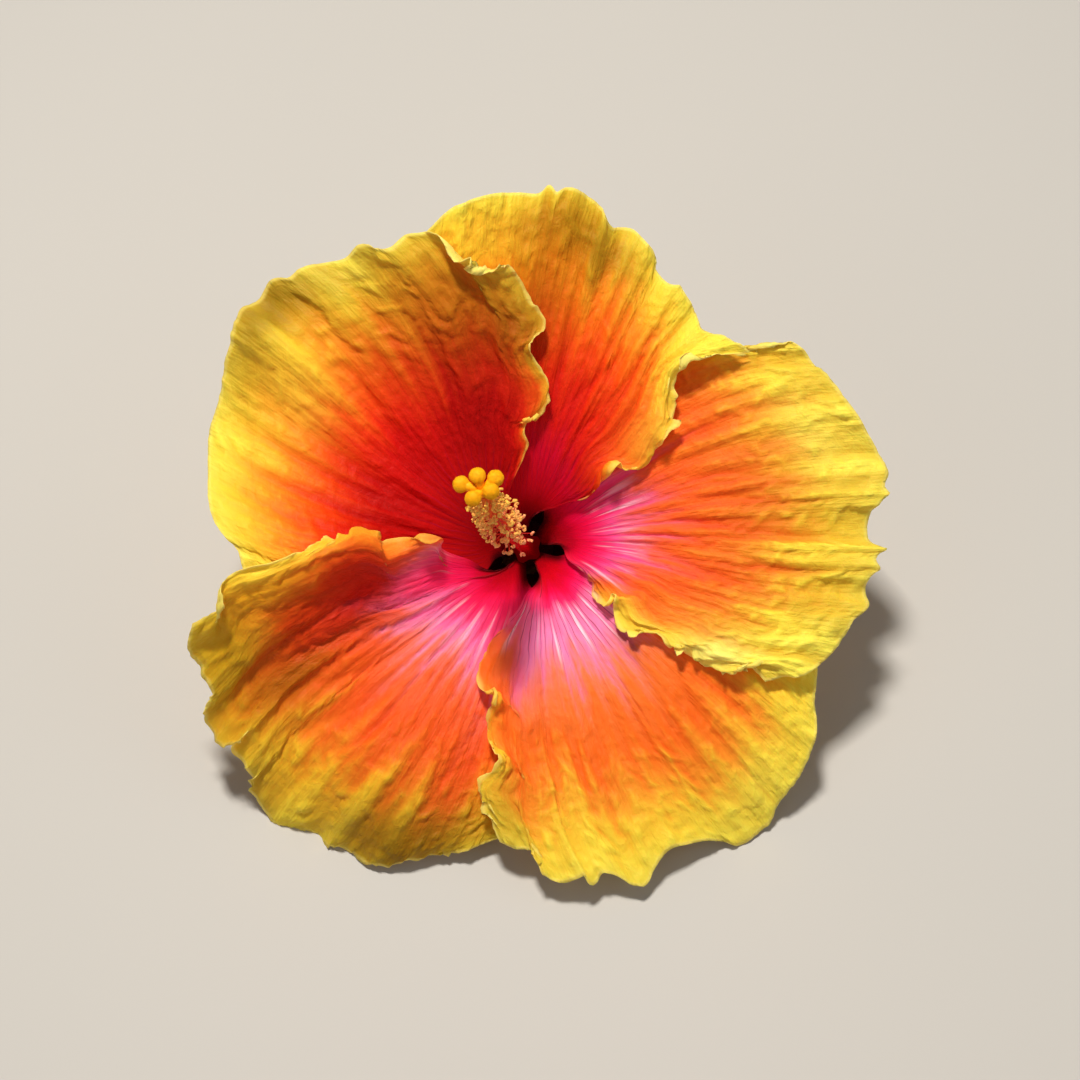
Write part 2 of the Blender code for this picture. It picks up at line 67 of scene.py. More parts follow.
class Field:
    # a value in a node tree, so that a formula can be written out as one
    def __init__(self, socket):
        self.socket = socket
        self.tree = socket.id_data

    def calc(self, operation, *others):
        vector = any(isinstance(v, Field) and v.socket.type == "VECTOR" or isinstance(v, tuple)
                     for v in (self, *others))
        node = self.tree.nodes.new("ShaderNodeVectorMath" if vector else "ShaderNodeMath")
        node.operation = operation
        slots = [0, 3] if operation == "SCALE" else range(len(node.inputs))
        for slot, value in zip(slots, (self, *others)):
            feed(self.tree, node.inputs[slot], value)
        single = operation in ("LENGTH", "DISTANCE", "DOT_PRODUCT")
        return Field(node.outputs["Value" if single or not vector else "Vector"])

    def __add__(self, other): return self.calc("ADD", other)
    def __sub__(self, other): return self.calc("SUBTRACT", other)
    def __truediv__(self, other): return self.calc("DIVIDE", other)
    def __pow__(self, other): return self.calc("POWER", other)
    def __rsub__(self, other): return (self * -1) + other
    __radd__ = __add__

    def __mul__(self, other):
        mine = self.socket.type == "VECTOR"
        theirs = isinstance(other, Field) and other.socket.type == "VECTOR"
        if mine == theirs:
            return self.calc("MULTIPLY", other)
        return self.calc("SCALE", other) if mine else other.calc("SCALE", self)
    __rmul__ = __mul__

    def part(self, axis):
        return Field(put(self.tree, "ShaderNodeSeparateXYZ", Vector=self).outputs[axis])

    def fading(self):
        # 1 where the field is 0, and less and less as it grows
        return (self * -1).calc("EXPONENT")

    def between(self, low, high, start=0.0, end=1.0, smooth=True):
        # goes from start to end while the field goes from low to high
        kind = "SMOOTHSTEP" if smooth else "LINEAR"
        return get(self.tree, "ShaderNodeMapRange", {"interpolation_type": kind}, Value=self, From_Min=low,
                   From_Max=high, To_Min=start, To_Max=end)


def openSocket(sockets, name):
    return next(socket for socket in sockets if socket.name == name and socket.enabled)


def feed(tree, socket, value):
    if isinstance(value, Field):
        tree.links.new(value.socket, socket)
    elif isinstance(value, (int, float)) and socket.type == "VECTOR":
        socket.default_value = (value,) * 3
    else:
        socket.default_value = value


def put(tree, kind, settings=None, **values):
    # a node with its settings, and its inputs by name with _ for a space
    node = tree.nodes.new(kind)
    for name, value in (settings or {}).items():
        setattr(node, name, value)
    for name, value in values.items():
        feed(tree, openSocket(node.inputs, name.replace("_", " ")), value)
    return node


def result(node, name=None):
    sockets = [socket for socket in node.outputs if socket.enabled]
    return Field(next(socket for socket in sockets if socket.name == name) if name else sockets[0])


def get(tree, kind, settings=None, **values):
    # what such a node puts out first
    return result(put(tree, kind, settings, **values))


def vectorOf(tree, x=0.0, y=0.0, z=0.0):
    return get(tree, "ShaderNodeCombineXYZ", X=x, Y=y, Z=z)


def noiseAt(tree, place, scale=1.0, detail=2.0, distortion=0.0):
    # noise from about -1 to 1, through 0
    noise = put(tree, "ShaderNodeTexNoise", Vector=place, Scale=scale, Detail=detail, Distortion=distortion)
    return (result(noise, "Fac") - 0.5) * noiseSpread


def newTree(name, sockets):
    # a geometry node tree with named inputs, and the nodes that bring them in and out
    tree = bpy.data.node_groups.new(name, "GeometryNodeTree")
    tree.interface.new_socket("Geometry", in_out="INPUT", socket_type="NodeSocketGeometry")
    tree.interface.new_socket("Geometry", in_out="OUTPUT", socket_type="NodeSocketGeometry")
    return tree, addInputs(tree, sockets)


def addInputs(tree, sockets):
    for label, kind, value in sockets:
        socket = tree.interface.new_socket(label, in_out="INPUT", socket_type="NodeSocket" + kind)
        if value is not None:
            socket.default_value = value
    entry = tree.nodes.new("NodeGroupInput")
    return {socket.name: Field(socket) for socket in entry.outputs if socket.name}


def closeTree(tree, geometry, material):
    # every tree ends with real faces, smooth, in one material
    real = get(tree, "GeometryNodeRealizeInstances", Geometry=geometry)
    smooth = get(tree, "GeometryNodeSetShadeSmooth", Geometry=real)
    painted = get(tree, "GeometryNodeSetMaterial", Geometry=smooth, Material=material)
    tree.links.new(painted.socket, tree.nodes.new("NodeGroupOutput").inputs[0])


def positionOf(tree):
    return get(tree, "GeometryNodeInputPosition")


def normalOf(tree):
    return get(tree, "GeometryNodeInputNormal")


def named(tree, label, kind="FLOAT"):
    # what the geometry carries under this name
    return get(tree, "GeometryNodeInputNamedAttribute", {"data_type": kind}, Name=label)


def store(tree, geometry, label, value, kind="FLOAT", domain="POINT", **more):
    return get(tree, "GeometryNodeStoreNamedAttribute", {"data_type": kind, "domain": domain},
               Geometry=geometry, Name=label, Value=value, **more)


def moved(tree, geometry, **change):
    return get(tree, "GeometryNodeSetPosition", Geometry=geometry, **change)


def joined(tree, *parts):
    whole = tree.nodes.new("GeometryNodeJoinGeometry")
    for part in parts:
        feed(tree, whole.inputs[0], part)
    return result(whole)


def copiesOn(tree, points, shape, **more):
    return get(tree, "GeometryNodeInstanceOnPoints", Points=points, Instance=shape, **more)


def chance(tree, low, high, seed, kind="FLOAT"):
    return get(tree, "FunctionNodeRandomValue", {"data_type": kind}, Min=low, Max=high, Seed=seed)


def ringOf(tree, sides, radius):
    return get(tree, "GeometryNodeCurvePrimitiveCircle", Resolution=sides, Radius=radius)


def tubeOf(tree, path, ring, **more):
    return get(tree, "GeometryNodeCurveToMesh", Curve=path, Profile_Curve=ring, Fill_Caps=True, **more)


def evenGrid(tree, given):
    # a flat sheet, and the place of each point across and along it, from 0 to 1
    grid = get(tree, "GeometryNodeMeshGrid", Size_X=1.0, Size_Y=1.0, Vertices_X=given["Rows"],
               Vertices_Y=given["Columns"])
    place = positionOf(tree)
    return grid, place.part("Y") + 0.5, place.part("X") + 0.5


def fanned(tree, sheet, across, along):
    # keeps these places on the sheet, for its finish
    return store(tree, sheet, "fan", vectorOf(tree, across, along), "FLOAT2", "CORNER")


def doubled(tree, sheet, thickness):
    # gives a sheet its back, whose faces carry "outer", and closes the margin
    back = put(tree, "GeometryNodeExtrudeMesh", Mesh=sheet, Offset=normalOf(tree),
               Offset_Scale=thickness * -1, Individual=False)
    outer = store(tree, result(back, "Mesh"), "outer", 1.0, domain="FACE", Selection=result(back, "Top"))
    turned = get(tree, "GeometryNodeFlipFaces", Mesh=outer)
    return get(tree, "GeometryNodeMergeByDistance", Geometry=joined(tree, turned, sheet), Distance=weldGap)


def growMesh(name, start, tree, values):
    # runs a tree on a starting mesh, and keeps the result as a plain mesh laid down in place
    source = bpy.data.objects.new(name + "Start", start)
    bpy.context.scene.collection.objects.link(source)
    modifier = source.modifiers.new("grow", "NODES")
    modifier.node_group = tree
    sockets = {item.name: item.identifier for item in tree.interface.items_tree if item.in_out == "INPUT"}
    for label, value in values.items():
        modifier[sockets[label]] = value
    graph = bpy.context.evaluated_depsgraph_get()
    mesh = bpy.data.meshes.new_from_object(source.evaluated_get(graph), preserve_all_data_layers=True,
                                           depsgraph=graph)
    mesh.transform(laidDown)
    mesh.name = name
    piece = bpy.data.objects.new(name, mesh)
    bpy.context.scene.collection.objects.link(piece)
    bpy.data.objects.remove(source)
    return piece


def settle(piece, slot, *nodes):
    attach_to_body(piece, "root")
    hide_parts(*nodes)
    piece.data.calc_loop_triangles()
    print(f"{piece.name}: {len(piece.data.loop_triangles)} triangles")


def paint(code):
    # "#rrggbb" as the linear colour that shaders use
    parts = [int(code[i:i + 2], 16) / 255 for i in (1, 3, 5)]
    return (*[p / 12.92 if p <= 0.04045 else ((p + 0.055) / 1.055) ** 2.4 for p in parts], 1)


def stepped(pairs, at):
    places, values = zip(*pairs)
    return np.interp(at, places, values)


def smoothThrough(points, count, measured=3):
    # evenly spaced points on a smooth curve through the given ones; only the first columns measure it
    points = np.array(points, float)
    ends = np.vstack([2 * points[0] - points[1], points, 2 * points[-1] - points[-2]])
    fine = 16   # steps between two given points, before they are spaced out

    def lengths(run):
        return np.linalg.norm(np.diff(run, axis=0)[:, :measured], axis=1)

    knots = np.append(0, np.cumsum(np.sqrt(lengths(ends))))
    runs = []
    for i in range(1, len(ends) - 2):
        a, b, c, d = ends[i - 1:i + 3]
        ta, tb, tc, td = knots[i - 1:i + 3]
        t = np.linspace(tb, tc, fine)[:, None]
        ab = a + (b - a) * (t - ta) / (tb - ta)
        bc = b + (c - b) * (t - tb) / (tc - tb)
        cd = c + (d - c) * (t - tc) / (td - tc)
        abc = ab + (bc - ab) * (t - ta) / (tc - ta)
        bcd = bc + (cd - bc) * (t - tb) / (td - tb)
        runs.append(abc + (bcd - abc) * (t - tb) / (tc - tb))
    run = np.concatenate(runs)
    along = np.append(0, np.cumsum(lengths(run)))
    stations = np.linspace(0, along[-1], count)
    return np.column_stack([np.interp(stations, along, column) for column in run.T])


corolla = {
    "clawRadius": 3.6,
    "claw": [(22, 3.6), (22.5, 5.0), (24, 7)],   # its sides: azimuth from its middle, radius
    # half of the section, from the claws to the rim: radius, height above the receptacle
    "section": [(3.6, 1.2), (3.7, 6), (4.0, 10.5), (5.0, 15.5), (6.7, 19.8), (9.2, 23.3), (13, 27),
                (20, 31.5), (30, 35), (45, 38), (62, 39), (84, 37)],
    # a petal's over side lies on its neighbour: the sheet twists by this lift at each radius
    "twist": [(5, 0.0), (8, 0.5), (12, 0.9), (20, 1.2), (40, 1.4), (84, 1.4)],
    # broad swells that every petal follows: azimuth, radius, how wide, how high
    "swells": [(105, 88, 34, 15), (104, 82, 15, 4), (141, 68, 12, 4), (82, 74, 13, 4), (181, 40, 12, 5),
               (184, 60, 24, 12), (238, 56, 17, 6), (240, 92, 18, -5)],
    "stations": 401,        # points on each guide line
    "rows": 170,            # of the sheet, from claw to rim
    "columns": 200,         # of the sheet, from side to side
    "sideCrowding": 0.3,    # how much closer the columns stand at the sides
    "clawCrowding": 1.15,   # and the rows at the claw
    "thickness": 0.32,
    "marginThinning": (2.5, 0.45),    # from this far in, the sheet thins out to this share at its edge
    # the waves of a side die out inwards by a power that grows between two places along: from, to, powers
    "sideFall": (0.28, 0.55, 2.0, 8.0),
    "sideLiftFall": 6, "rimLiftFall": 8,   # the same for the lifts of the sides and of the rim
    "creaseWidth": 2.2,     # how wide a crease is at the middle of a petal
    "creaseReach": 80.0,    # how far apart the sides of a fan are, where creases are measured
    "pleatHeight": 1.5,     # the soft folds between creases
    "ruffleHeight": 1.0,    # the waves of the margin
    "ruffleFade": 0.22,     # how fast they fade, for each millimetre from the margin
    "rollBand": 5.0,        # how far in from the margin a rolled edge starts
    # waves of the tissue: how many across and along, seed, detail and distortion
    "pleats": (15, 1.5, 0, 1.0, 0.0), "finePleats": (40, 4.0, 20, 1.5, 0.0),
    "rimFolds": (9, 1.0, 140, 1.0, 0.0), "ruffles": (15, 15, 60, 1.5, 0.0),
    "crinkles": (24, 20, 40, 2.0, 0.5), "fineCrinkles": (50, 36, 80, 1.0, 0.3),
}

# Each petal's outline as azimuth, radius, lift off the section and roll of the margin in degrees.
# "over" runs from the claw along the side that lies on the next petal, "rim" along the free end, and
# "under" from the claw along the covered side; "azimuth" is the middle of the claw. A crease is a depth
# and a line of (across, along). "crinkle" is the height of the small crinkles, and "folds" of the broad
# folds that run out to the rim.
petals = {
    "petalUpperLeft": {
        "node": "petal_upper_left", "azimuth": 177, "seed": 1.0, "crinkle": 1.5, "folds": 1.8,
        "over": [
            (144, 8.6, 0), (125, 10, 0.2), (111, 12.2, 0.4), (101, 15.6, 0.6), (91, 20.5, 1, 0),
            (88.5, 23.4, 2, -20), (90.5, 25.5, 2, 0), (89.5, 28, 2, -10), (84, 29.3, 3, -25),
            (81, 34.3, 3, -35), (83, 37.3, 2.5, -30), (87.5, 41.4, 2.5, 10), (88.5, 43.8, 3, 25),
            (86.5, 46.3, 3.5, -10), (85, 49.3, 3, -30), (88, 52.1, 2.5, -25), (89.5, 55.5, 2, -20),
            (92, 58.5, 2, 0), (95, 60.4, 2, 40),
        ],
        "rim": [
            (95, 60.4, 2, 40), (98, 59.6, 3, 60), (101, 60.3, 3.5, 50), (104, 62.6, 3, 20),
            (105.5, 66.3, 1, 0), (108.5, 67.9, -0.5), (111, 68.9, -0.5), (114, 67.8, 1.5), (117, 68.8, 2.5),
            (119, 71.6, 1), (122, 71.7, -1), (126, 74.4, -1), (129, 75.9, 0.5), (131.5, 76.2, 1.5),
            (134, 78.9, 0.5), (137, 78.2, -1), (139.5, 79.1, 0), (142, 78.3, 1), (145, 76.7, 1),
            (149, 75.6, 0), (154, 73.7, -1.5), (159, 72.9, -1.5), (166, 69.6, 0), (173, 66.4, 1),
            (178, 62.4, 1), (181, 60.1, 0), (185, 59.2, -1), (191, 56.9, -2),
        ],
        "under": [
            (208, 8.6, 0), (214, 11, 0), (214, 15, 0), (211, 22, 0), (206, 31.9, -0.5), (200, 44.6, -1),
            (191, 56.9, -2),
        ],
        "creases": [
            (1.2, (0.50, 0.50), (0.47, 0.62), (0.44, 0.78), (0.42, 0.95)),
            (0.9, (0.62, 0.50), (0.61, 0.65), (0.60, 0.80), (0.60, 0.92)),
            (0.8, (0.67, 0.52), (0.66, 0.68), (0.66, 0.85)),
            (1.0, (0.73, 0.50), (0.72, 0.68), (0.72, 0.86)),
            (0.8, (0.80, 0.60), (0.79, 0.75), (0.78, 0.92)),
            (-1.2, (0.40, 0.86), (0.36, 0.92), (0.31, 0.99)),
            (0.7, (0.30, 0.45), (0.28, 0.60), (0.25, 0.75)),
            (0.6, (0.18, 0.42), (0.15, 0.60), (0.13, 0.78)),
        ],
    },
    "petalTop": {
        "node": "petal_top", "azimuth": 105, "seed": 2.0, "crinkle": 1.25, "folds": 1.4,
        "over": [
            (73, 8.6, 0), (60, 10.5, 0.3), (46, 14.3, 0.6, -20), (38, 19.5, 2, -50), (39, 23, 3, -40),
            (42, 26.7, 3, 50), (37, 29, 2.5, -20), (33, 31.7, 2, -70), (36, 35.4, 2.5, -50),
            (38, 38.5, 3, 20), (40, 41.8, 3.5, -60), (45, 44.5, 2.5, -50), (49, 48.9, 2, 0),
            (49.5, 52.5, 2.5, 60), (47.5, 55.3, 2.5, 30), (44, 60, 1.5, 0), (41, 64.1, 0, 0),
        ],
        "rim": [
            (41, 64.1, 0), (44, 62.8, 0.5), (48, 61.6, 0.5), (51, 60.2, -0.5), (54, 62.6, -1),
            (57, 63.9, 0.5), (59.5, 64.9, 1.5), (61.5, 64.3, 0.5), (64, 65.5, -1), (65.5, 68.6, 0),
            (68, 69.7, 1.5), (70, 70.9, 1), (72, 72, -0.5), (74, 70.5, 0.5), (76, 71.5, 1.5),
            (77.5, 73.8, 0.5), (79.5, 75.3, -0.5), (83, 75.8, 1), (85, 74.4, 1), (86.2, 76, 0),
            (87.5, 74.3, -0.5), (91, 74.2, -1), (95, 73.4, 0), (98.5, 72, 0.5), (102, 70.9, 0),
            (106, 69, -1), (110, 67, -2), (114, 63.9, -2.5),
        ],
        "under": [
            (135, 8.6, 0), (139, 11, 0), (137, 15, 0), (133, 22, 0), (128, 32, -0.5), (123, 44.8, -1),
            (118, 56.4, -1.5), (114, 63.9, -2.5),
        ],
        "creases": [
            (1.0, (0.48, 0.60), (0.46, 0.72), (0.44, 0.85)),
            (0.9, (0.40, 0.56), (0.33, 0.66), (0.27, 0.78)),
            (0.8, (0.30, 0.52), (0.24, 0.64), (0.20, 0.80)),
            (0.8, (0.17, 0.52), (0.14, 0.66), (0.14, 0.80)),
            (0.7, (0.50, 0.84), (0.52, 0.92), (0.51, 0.98)),
            (0.7, (0.23, 0.80), (0.19, 0.90), (0.19, 0.98)),
            (0.8, (0.58, 0.84), (0.62, 0.92), (0.63, 0.98)),
        ],
    },
    "petalRight": {
        "node": "petal_right", "azimuth": 33, "seed": 3.0, "crinkle": 1.6, "folds": 2.4,
        "over": [
            (0, 8.6, 0), (-16, 10.5, 0.3), (-21, 13.4, 0.8, -20), (-28, 17.5, 1.5, -60),
            (-33, 21.4, 2.5, -40), (-29.5, 23.1, 3, 40), (-33, 24.2, 3, -30), (-37, 26.4, 2.5, -60),
            (-35.5, 29.5, 2.5, -60), (-32, 34.7, 2.5, 0), (-34, 38, 3, -50), (-32, 40.5, 2.5, -20),
            (-33.5, 42.5, 2.5, -60), (-31, 48.8, 2, -40), (-28, 53.2, 2, -30), (-29, 58.9, 1, 0),
        ],
        "rim": [
            (-29, 58.9, 1), (-27, 61.3, 0.5), (-25, 64.6, 1), (-21, 68, 0.5), (-18, 69.8, -0.5),
            (-15, 71, 0.5), (-12, 72, 1.5), (-9, 74.7, 0.5), (-7, 73.8, -1), (-5, 74.2, 0.5),
            (-3.5, 76, 1.5), (-1.5, 75.2, 0.5), (0, 77.6, 0.5), (1.8, 74.3, -1), (5, 74.8, -1.5),
            (7, 76.8, 0), (8.5, 79, 1), (10, 78.3, 0.5), (11.5, 79.6, 0), (15, 79.3, -1), (18, 78, -0.5),
            (21, 77.1, 0.5), (25, 75.9, 1), (30, 75.1, 0), (33, 73.9, -0.5), (36, 73.2, 0.5),
            (38.3, 71.8, 0.5), (39.5, 69, -0.5), (41, 65, -1.5), (44, 61, -2),
        ],
        "under": [
            (63, 8.6, 0), (68, 11, 0), (69, 15, 0), (69, 22, 0), (67, 32, -0.5), (62, 42, -1),
            (54, 52, -1.5), (44, 61, -2),
        ],
        "creases": [
            (1.1, (0.58, 0.48), (0.555, 0.62), (0.52, 0.76), (0.50, 0.92)),
            (1.3, (0.50, 0.52), (0.455, 0.66), (0.435, 0.80), (0.43, 0.93)),
            (1.0, (0.42, 0.52), (0.37, 0.66), (0.33, 0.80), (0.29, 0.95)),
            (0.8, (0.34, 0.50), (0.29, 0.64), (0.27, 0.80)),
            (0.9, (0.63, 0.55), (0.60, 0.68), (0.58, 0.80), (0.59, 0.92)),
            (1.0, (0.68, 0.58), (0.67, 0.72), (0.665, 0.84), (0.68, 0.97)),
            (1.0, (0.73, 0.62), (0.725, 0.74), (0.725, 0.86), (0.74, 0.97)),
            (0.8, (0.79, 0.66), (0.78, 0.78), (0.79, 0.90)),
            (0.7, (0.20, 0.55), (0.18, 0.70), (0.17, 0.85)),
            (0.9, (0.12, 0.55), (0.07, 0.64), (0.03, 0.72)),
        ],
    },
    "petalBottom": {
        "node": "petal_bottom", "azimuth": 321, "seed": 4.0, "crinkle": 1.7, "folds": 0.9,
        "over": [
            (287, 8.6, 0), (270, 11, 0.3), (264, 14.2, 0.8), (254, 20.3, 2, -50), (252, 24.1, 2.5, -70),
            (251, 29.4, 2.5, -60), (254, 33.2, 3, 20), (258.5, 34, 4, 60), (257.5, 37, 3, -20),
            (259, 41.9, 2, -50), (263.5, 45.7, 3.5, 60), (261, 49, 3, -20), (259, 52, 2.5, -70),
            (261, 56, 2, -50), (263, 59.8, 1.5, -20), (265, 63, 1, 0),
        ],
        "rim": [
            (265, 63, 1), (268, 63.9, 1.5), (271, 64.3, 2.5), (273, 66.1, 3.5), (274.5, 69.6, 4),
            (276.5, 71, 4), (279, 70.3, 5), (280.7, 69.8, 5.5), (282, 72.2, 4.5), (283.3, 70.5, 4),
            (286, 71.8, 4), (289.5, 76, 3), (291.5, 73.8, 3), (293.5, 72, 3), (296, 71, 2.5),
            (299.5, 72.5, 0.5), (302.5, 74.8, -2), (304, 77, -4), (305.5, 80.3, -5.5), (308, 81, -6),
            (311.5, 81.2, -6), (314, 79.5, -5), (317, 78.2, -3.5), (320, 77.8, -2.5), (324, 76.1, -1),
            (328, 74.1, 0), (332, 70.7, 0), (335, 69.5, -1), (339, 68, -2), (342, 65, -2.5),
        ],
        "under": [
            (351, 8.6, 0), (356, 11, 0), (356, 15, 0), (353, 25, 0), (349, 38, -0.5), (345, 50, -1.5),
            (342, 65, -2.5),
        ],
        "creases": [
            (1.1, (0.62, 0.50), (0.59, 0.62), (0.575, 0.75), (0.565, 0.88)),
            (1.0, (0.70, 0.60), (0.67, 0.70), (0.66, 0.80), (0.65, 0.90)),
            (0.9, (0.54, 0.52), (0.50, 0.65), (0.49, 0.80), (0.50, 0.92)),
            (0.9, (0.47, 0.52), (0.43, 0.66), (0.405, 0.80), (0.39, 0.90)),
            (0.9, (0.40, 0.52), (0.37, 0.66), (0.35, 0.80), (0.36, 0.88)),
            (0.8, (0.31, 0.50), (0.30, 0.65), (0.29, 0.80), (0.29, 0.90)),
            (0.8, (0.22, 0.50), (0.21, 0.66), (0.20, 0.82)),
            (0.9, (0.13, 0.48), (0.10, 0.60), (0.06, 0.68)),
            (0.8, (0.05, 0.75), (0.10, 0.82), (0.13, 0.90)),
            (0.9, (0.77, 0.70), (0.745, 0.80), (0.72, 0.92)),
        ],
    },
    "petalLowerLeft": {
        "node": "petal_lower_left", "azimuth": 249, "seed": 5.0, "crinkle": 1.6, "folds": 1.2,
        "over": [
            (218, 8.8, 0.1), (206, 11, 0.4), (192, 13.8, 1), (181, 19.5, 2, 0), (171, 21.5, 5, 40),
            (171, 24, 6, 100), (176, 28, 3.5, -30), (179.5, 30.8, 3.5, -60), (173, 32.4, 6, -80),
            (170, 35.9, 6.5, -110), (173, 39.2, 6, -100), (176.5, 42.7, 5, -60), (181, 46.5, 4, -30),
            (184, 52.8, 3.5, -12), (184.5, 57.9, 3, -8), (186, 61.5, 3, -5), (189.3, 62.4, 3, 0),
            (191.3, 62.7, 3, 0), (192.7, 66.8, 2.5, 0), (193.2, 70.8, 2, 0),
        ],
        "rim": [
            (193.2, 70.8, 2), (195.4, 73, 1), (198, 74.8, -1), (200, 73.7, -1), (201.7, 74.3, 0),
            (203.4, 73.1, 1.5), (206, 74, 1, -35), (208, 76.5, -1, -35), (210, 79.5, -2, -35),
            (212, 78.7, 0, -35), (213, 75, 2, -35), (214.5, 73.5, 2.5, -35), (216, 75.6, 1, -35),
            (219, 77, -1, -35), (221, 78.3, -4, -35), (221.7, 81, -6, -35), (224, 82.4, -6.5, -35),
            (226.5, 83.1, -7.1, -35), (229, 82.7, -6.5, -35), (232, 80.1, -5, -35), (237, 78.3, -1.5, -35),
            (243, 76.6, 1.5, -35), (246.5, 75.4, 2, -35), (250, 72.4, 1.5, -35), (255, 69.5, 0, -35),
            (260, 66, -1), (265, 63, -2), (270, 60, -2.5),
        ],
        "under": [
            (279, 8.6, 0), (285, 11, 0), (285, 15, 0), (283, 25, 0), (279, 38, -0.5), (275, 50, -1.5),
            (270, 60, -2.5),
        ],
        "creases": [
            (1.1, (0.36, 0.56), (0.31, 0.66), (0.25, 0.78), (0.20, 0.92)),
            (1.0, (0.43, 0.60), (0.39, 0.72), (0.33, 0.84), (0.28, 0.95)),
            (1.2, (0.53, 0.50), (0.49, 0.64), (0.44, 0.80), (0.37, 0.93)),
            (1.0, (0.58, 0.56), (0.54, 0.70), (0.50, 0.82), (0.47, 0.92)),
            (1.1, (0.65, 0.54), (0.63, 0.66), (0.60, 0.80), (0.57, 0.92)),
            (1.0, (0.70, 0.62), (0.68, 0.74), (0.66, 0.86), (0.64, 0.96)),
            (0.9, (0.79, 0.62), (0.76, 0.74), (0.74, 0.86), (0.72, 0.96)),
            (0.9, (0.28, 0.52), (0.22, 0.62), (0.15, 0.76), (0.10, 0.88)),
            (0.8, (0.17, 0.50), (0.12, 0.60), (0.07, 0.72)),
        ],
    },
}


section = smoothThrough(corolla["section"], corolla["stations"], measured=2)
sectionAlong = np.append(0, np.cumsum(np.linalg.norm(np.diff(section, axis=0), axis=1)))


def inwardOf(section):
    # the direction off the section on its inner, upper side
    slope = np.gradient(section, axis=0)
    slope /= np.linalg.norm(slope, axis=1)[:, None]
    return np.column_stack([-slope[:, 1], slope[:, 0]])


def flatPlace(azimuth, radius):
    # a place on the corolla rolled out flat: as far from the centre as it is along the section
    reach = corolla["clawRadius"] + np.interp(radius, section[:, 0], sectionAlong)
    angle = math.radians(azimuth)
    return reach * math.cos(angle), reach * math.sin(angle)


def layFlat(outline):
    return smoothThrough([(*flatPlace(azimuth, radius), lift, math.radians(sum(roll)))
                          for azimuth, radius, lift, *roll in outline], corolla["stations"])


def bowOf(pull, v):
    # one smooth bow through how far a side stands from a straight line
    basis = np.column_stack([v * (1 - v), v * v * (1 - v)])
    return basis @ np.linalg.lstsq(basis, pull, rcond=None)[0]


def creaseLines(creases, first):
    # the creases as lines of points, numbered from first, with edges and a depth that fades at both ends
    stations = 60
    points, edges, depths = [], [], []
    fade = np.sin(np.linspace(0.15, math.pi - 0.25, stations)) ** 0.6
    for depth, *turns in creases:
        edges += [(first + len(points) + i, first + len(points) + i + 1) for i in range(stations - 1)]
        points += [(u, v, 0) for u, v in smoothThrough(turns, stations, measured=2)]
        depths += list(depth * fade)
    return points, edges, depths


def petalGuides(name, shape):
    # the lines that a petal is drawn from, as one mesh: over side, rim, under side and the corolla's
    # section are loose points, and only the creases have edges
    stations = corolla["stations"]
    v = np.linspace(0, 1, stations)
    flat = np.zeros((stations, 2))
    lines = []   # of each line: places, bow, waves, lift, roll
    for side, turn in (("over", -1), ("rim", 0), ("under", 1)):
        claw = [(shape["azimuth"] + turn * half, radius, 0) for half, radius in corolla["claw"]]
        edge = layFlat(claw + shape[side] if turn else shape[side])
        straight = edge[0, :2] + (edge[-1, :2] - edge[0, :2]) * v[:, None]
        bow = bowOf(edge[:, :2] - straight, v)
        lines.append((edge[:, :2], bow, edge[:, :2] - straight - bow, edge[:, 2], edge[:, 3]))
    lines.append((section, inwardOf(section), flat, stepped(corolla["twist"], section[:, 0]), flat[:, 0]))
    places, bows, waves, lifts, rolls = (np.concatenate(values) for values in zip(*lines))

    points, edges, depths = creaseLines(shape["creases"], len(places))
    mesh = bpy.data.meshes.new(name + "Guides")
    mesh.from_pydata([(x, y, 0) for x, y in places] + points, edges, [])

    def attach(label, values, spare):
        kind, field = ("FLOAT", "value") if values.ndim == 1 else ("FLOAT_VECTOR", "vector")
        if values.ndim == 2:
            values = np.column_stack([values, np.zeros(len(values))])
        values = np.concatenate([values, spare])
        mesh.attributes.new(label, kind, "POINT").data.foreach_set(field, np.ravel(values).astype(np.float32))

    for label, values in (("bow", bows), ("wave", waves)):
        attach(label, values, np.zeros((len(points), 3)))
    for label, values in (("lift", lifts), ("roll", rolls)):
        attach(label, values, np.zeros(len(points)))
    attach("depth", np.zeros(len(places)), depths)
    return mesh


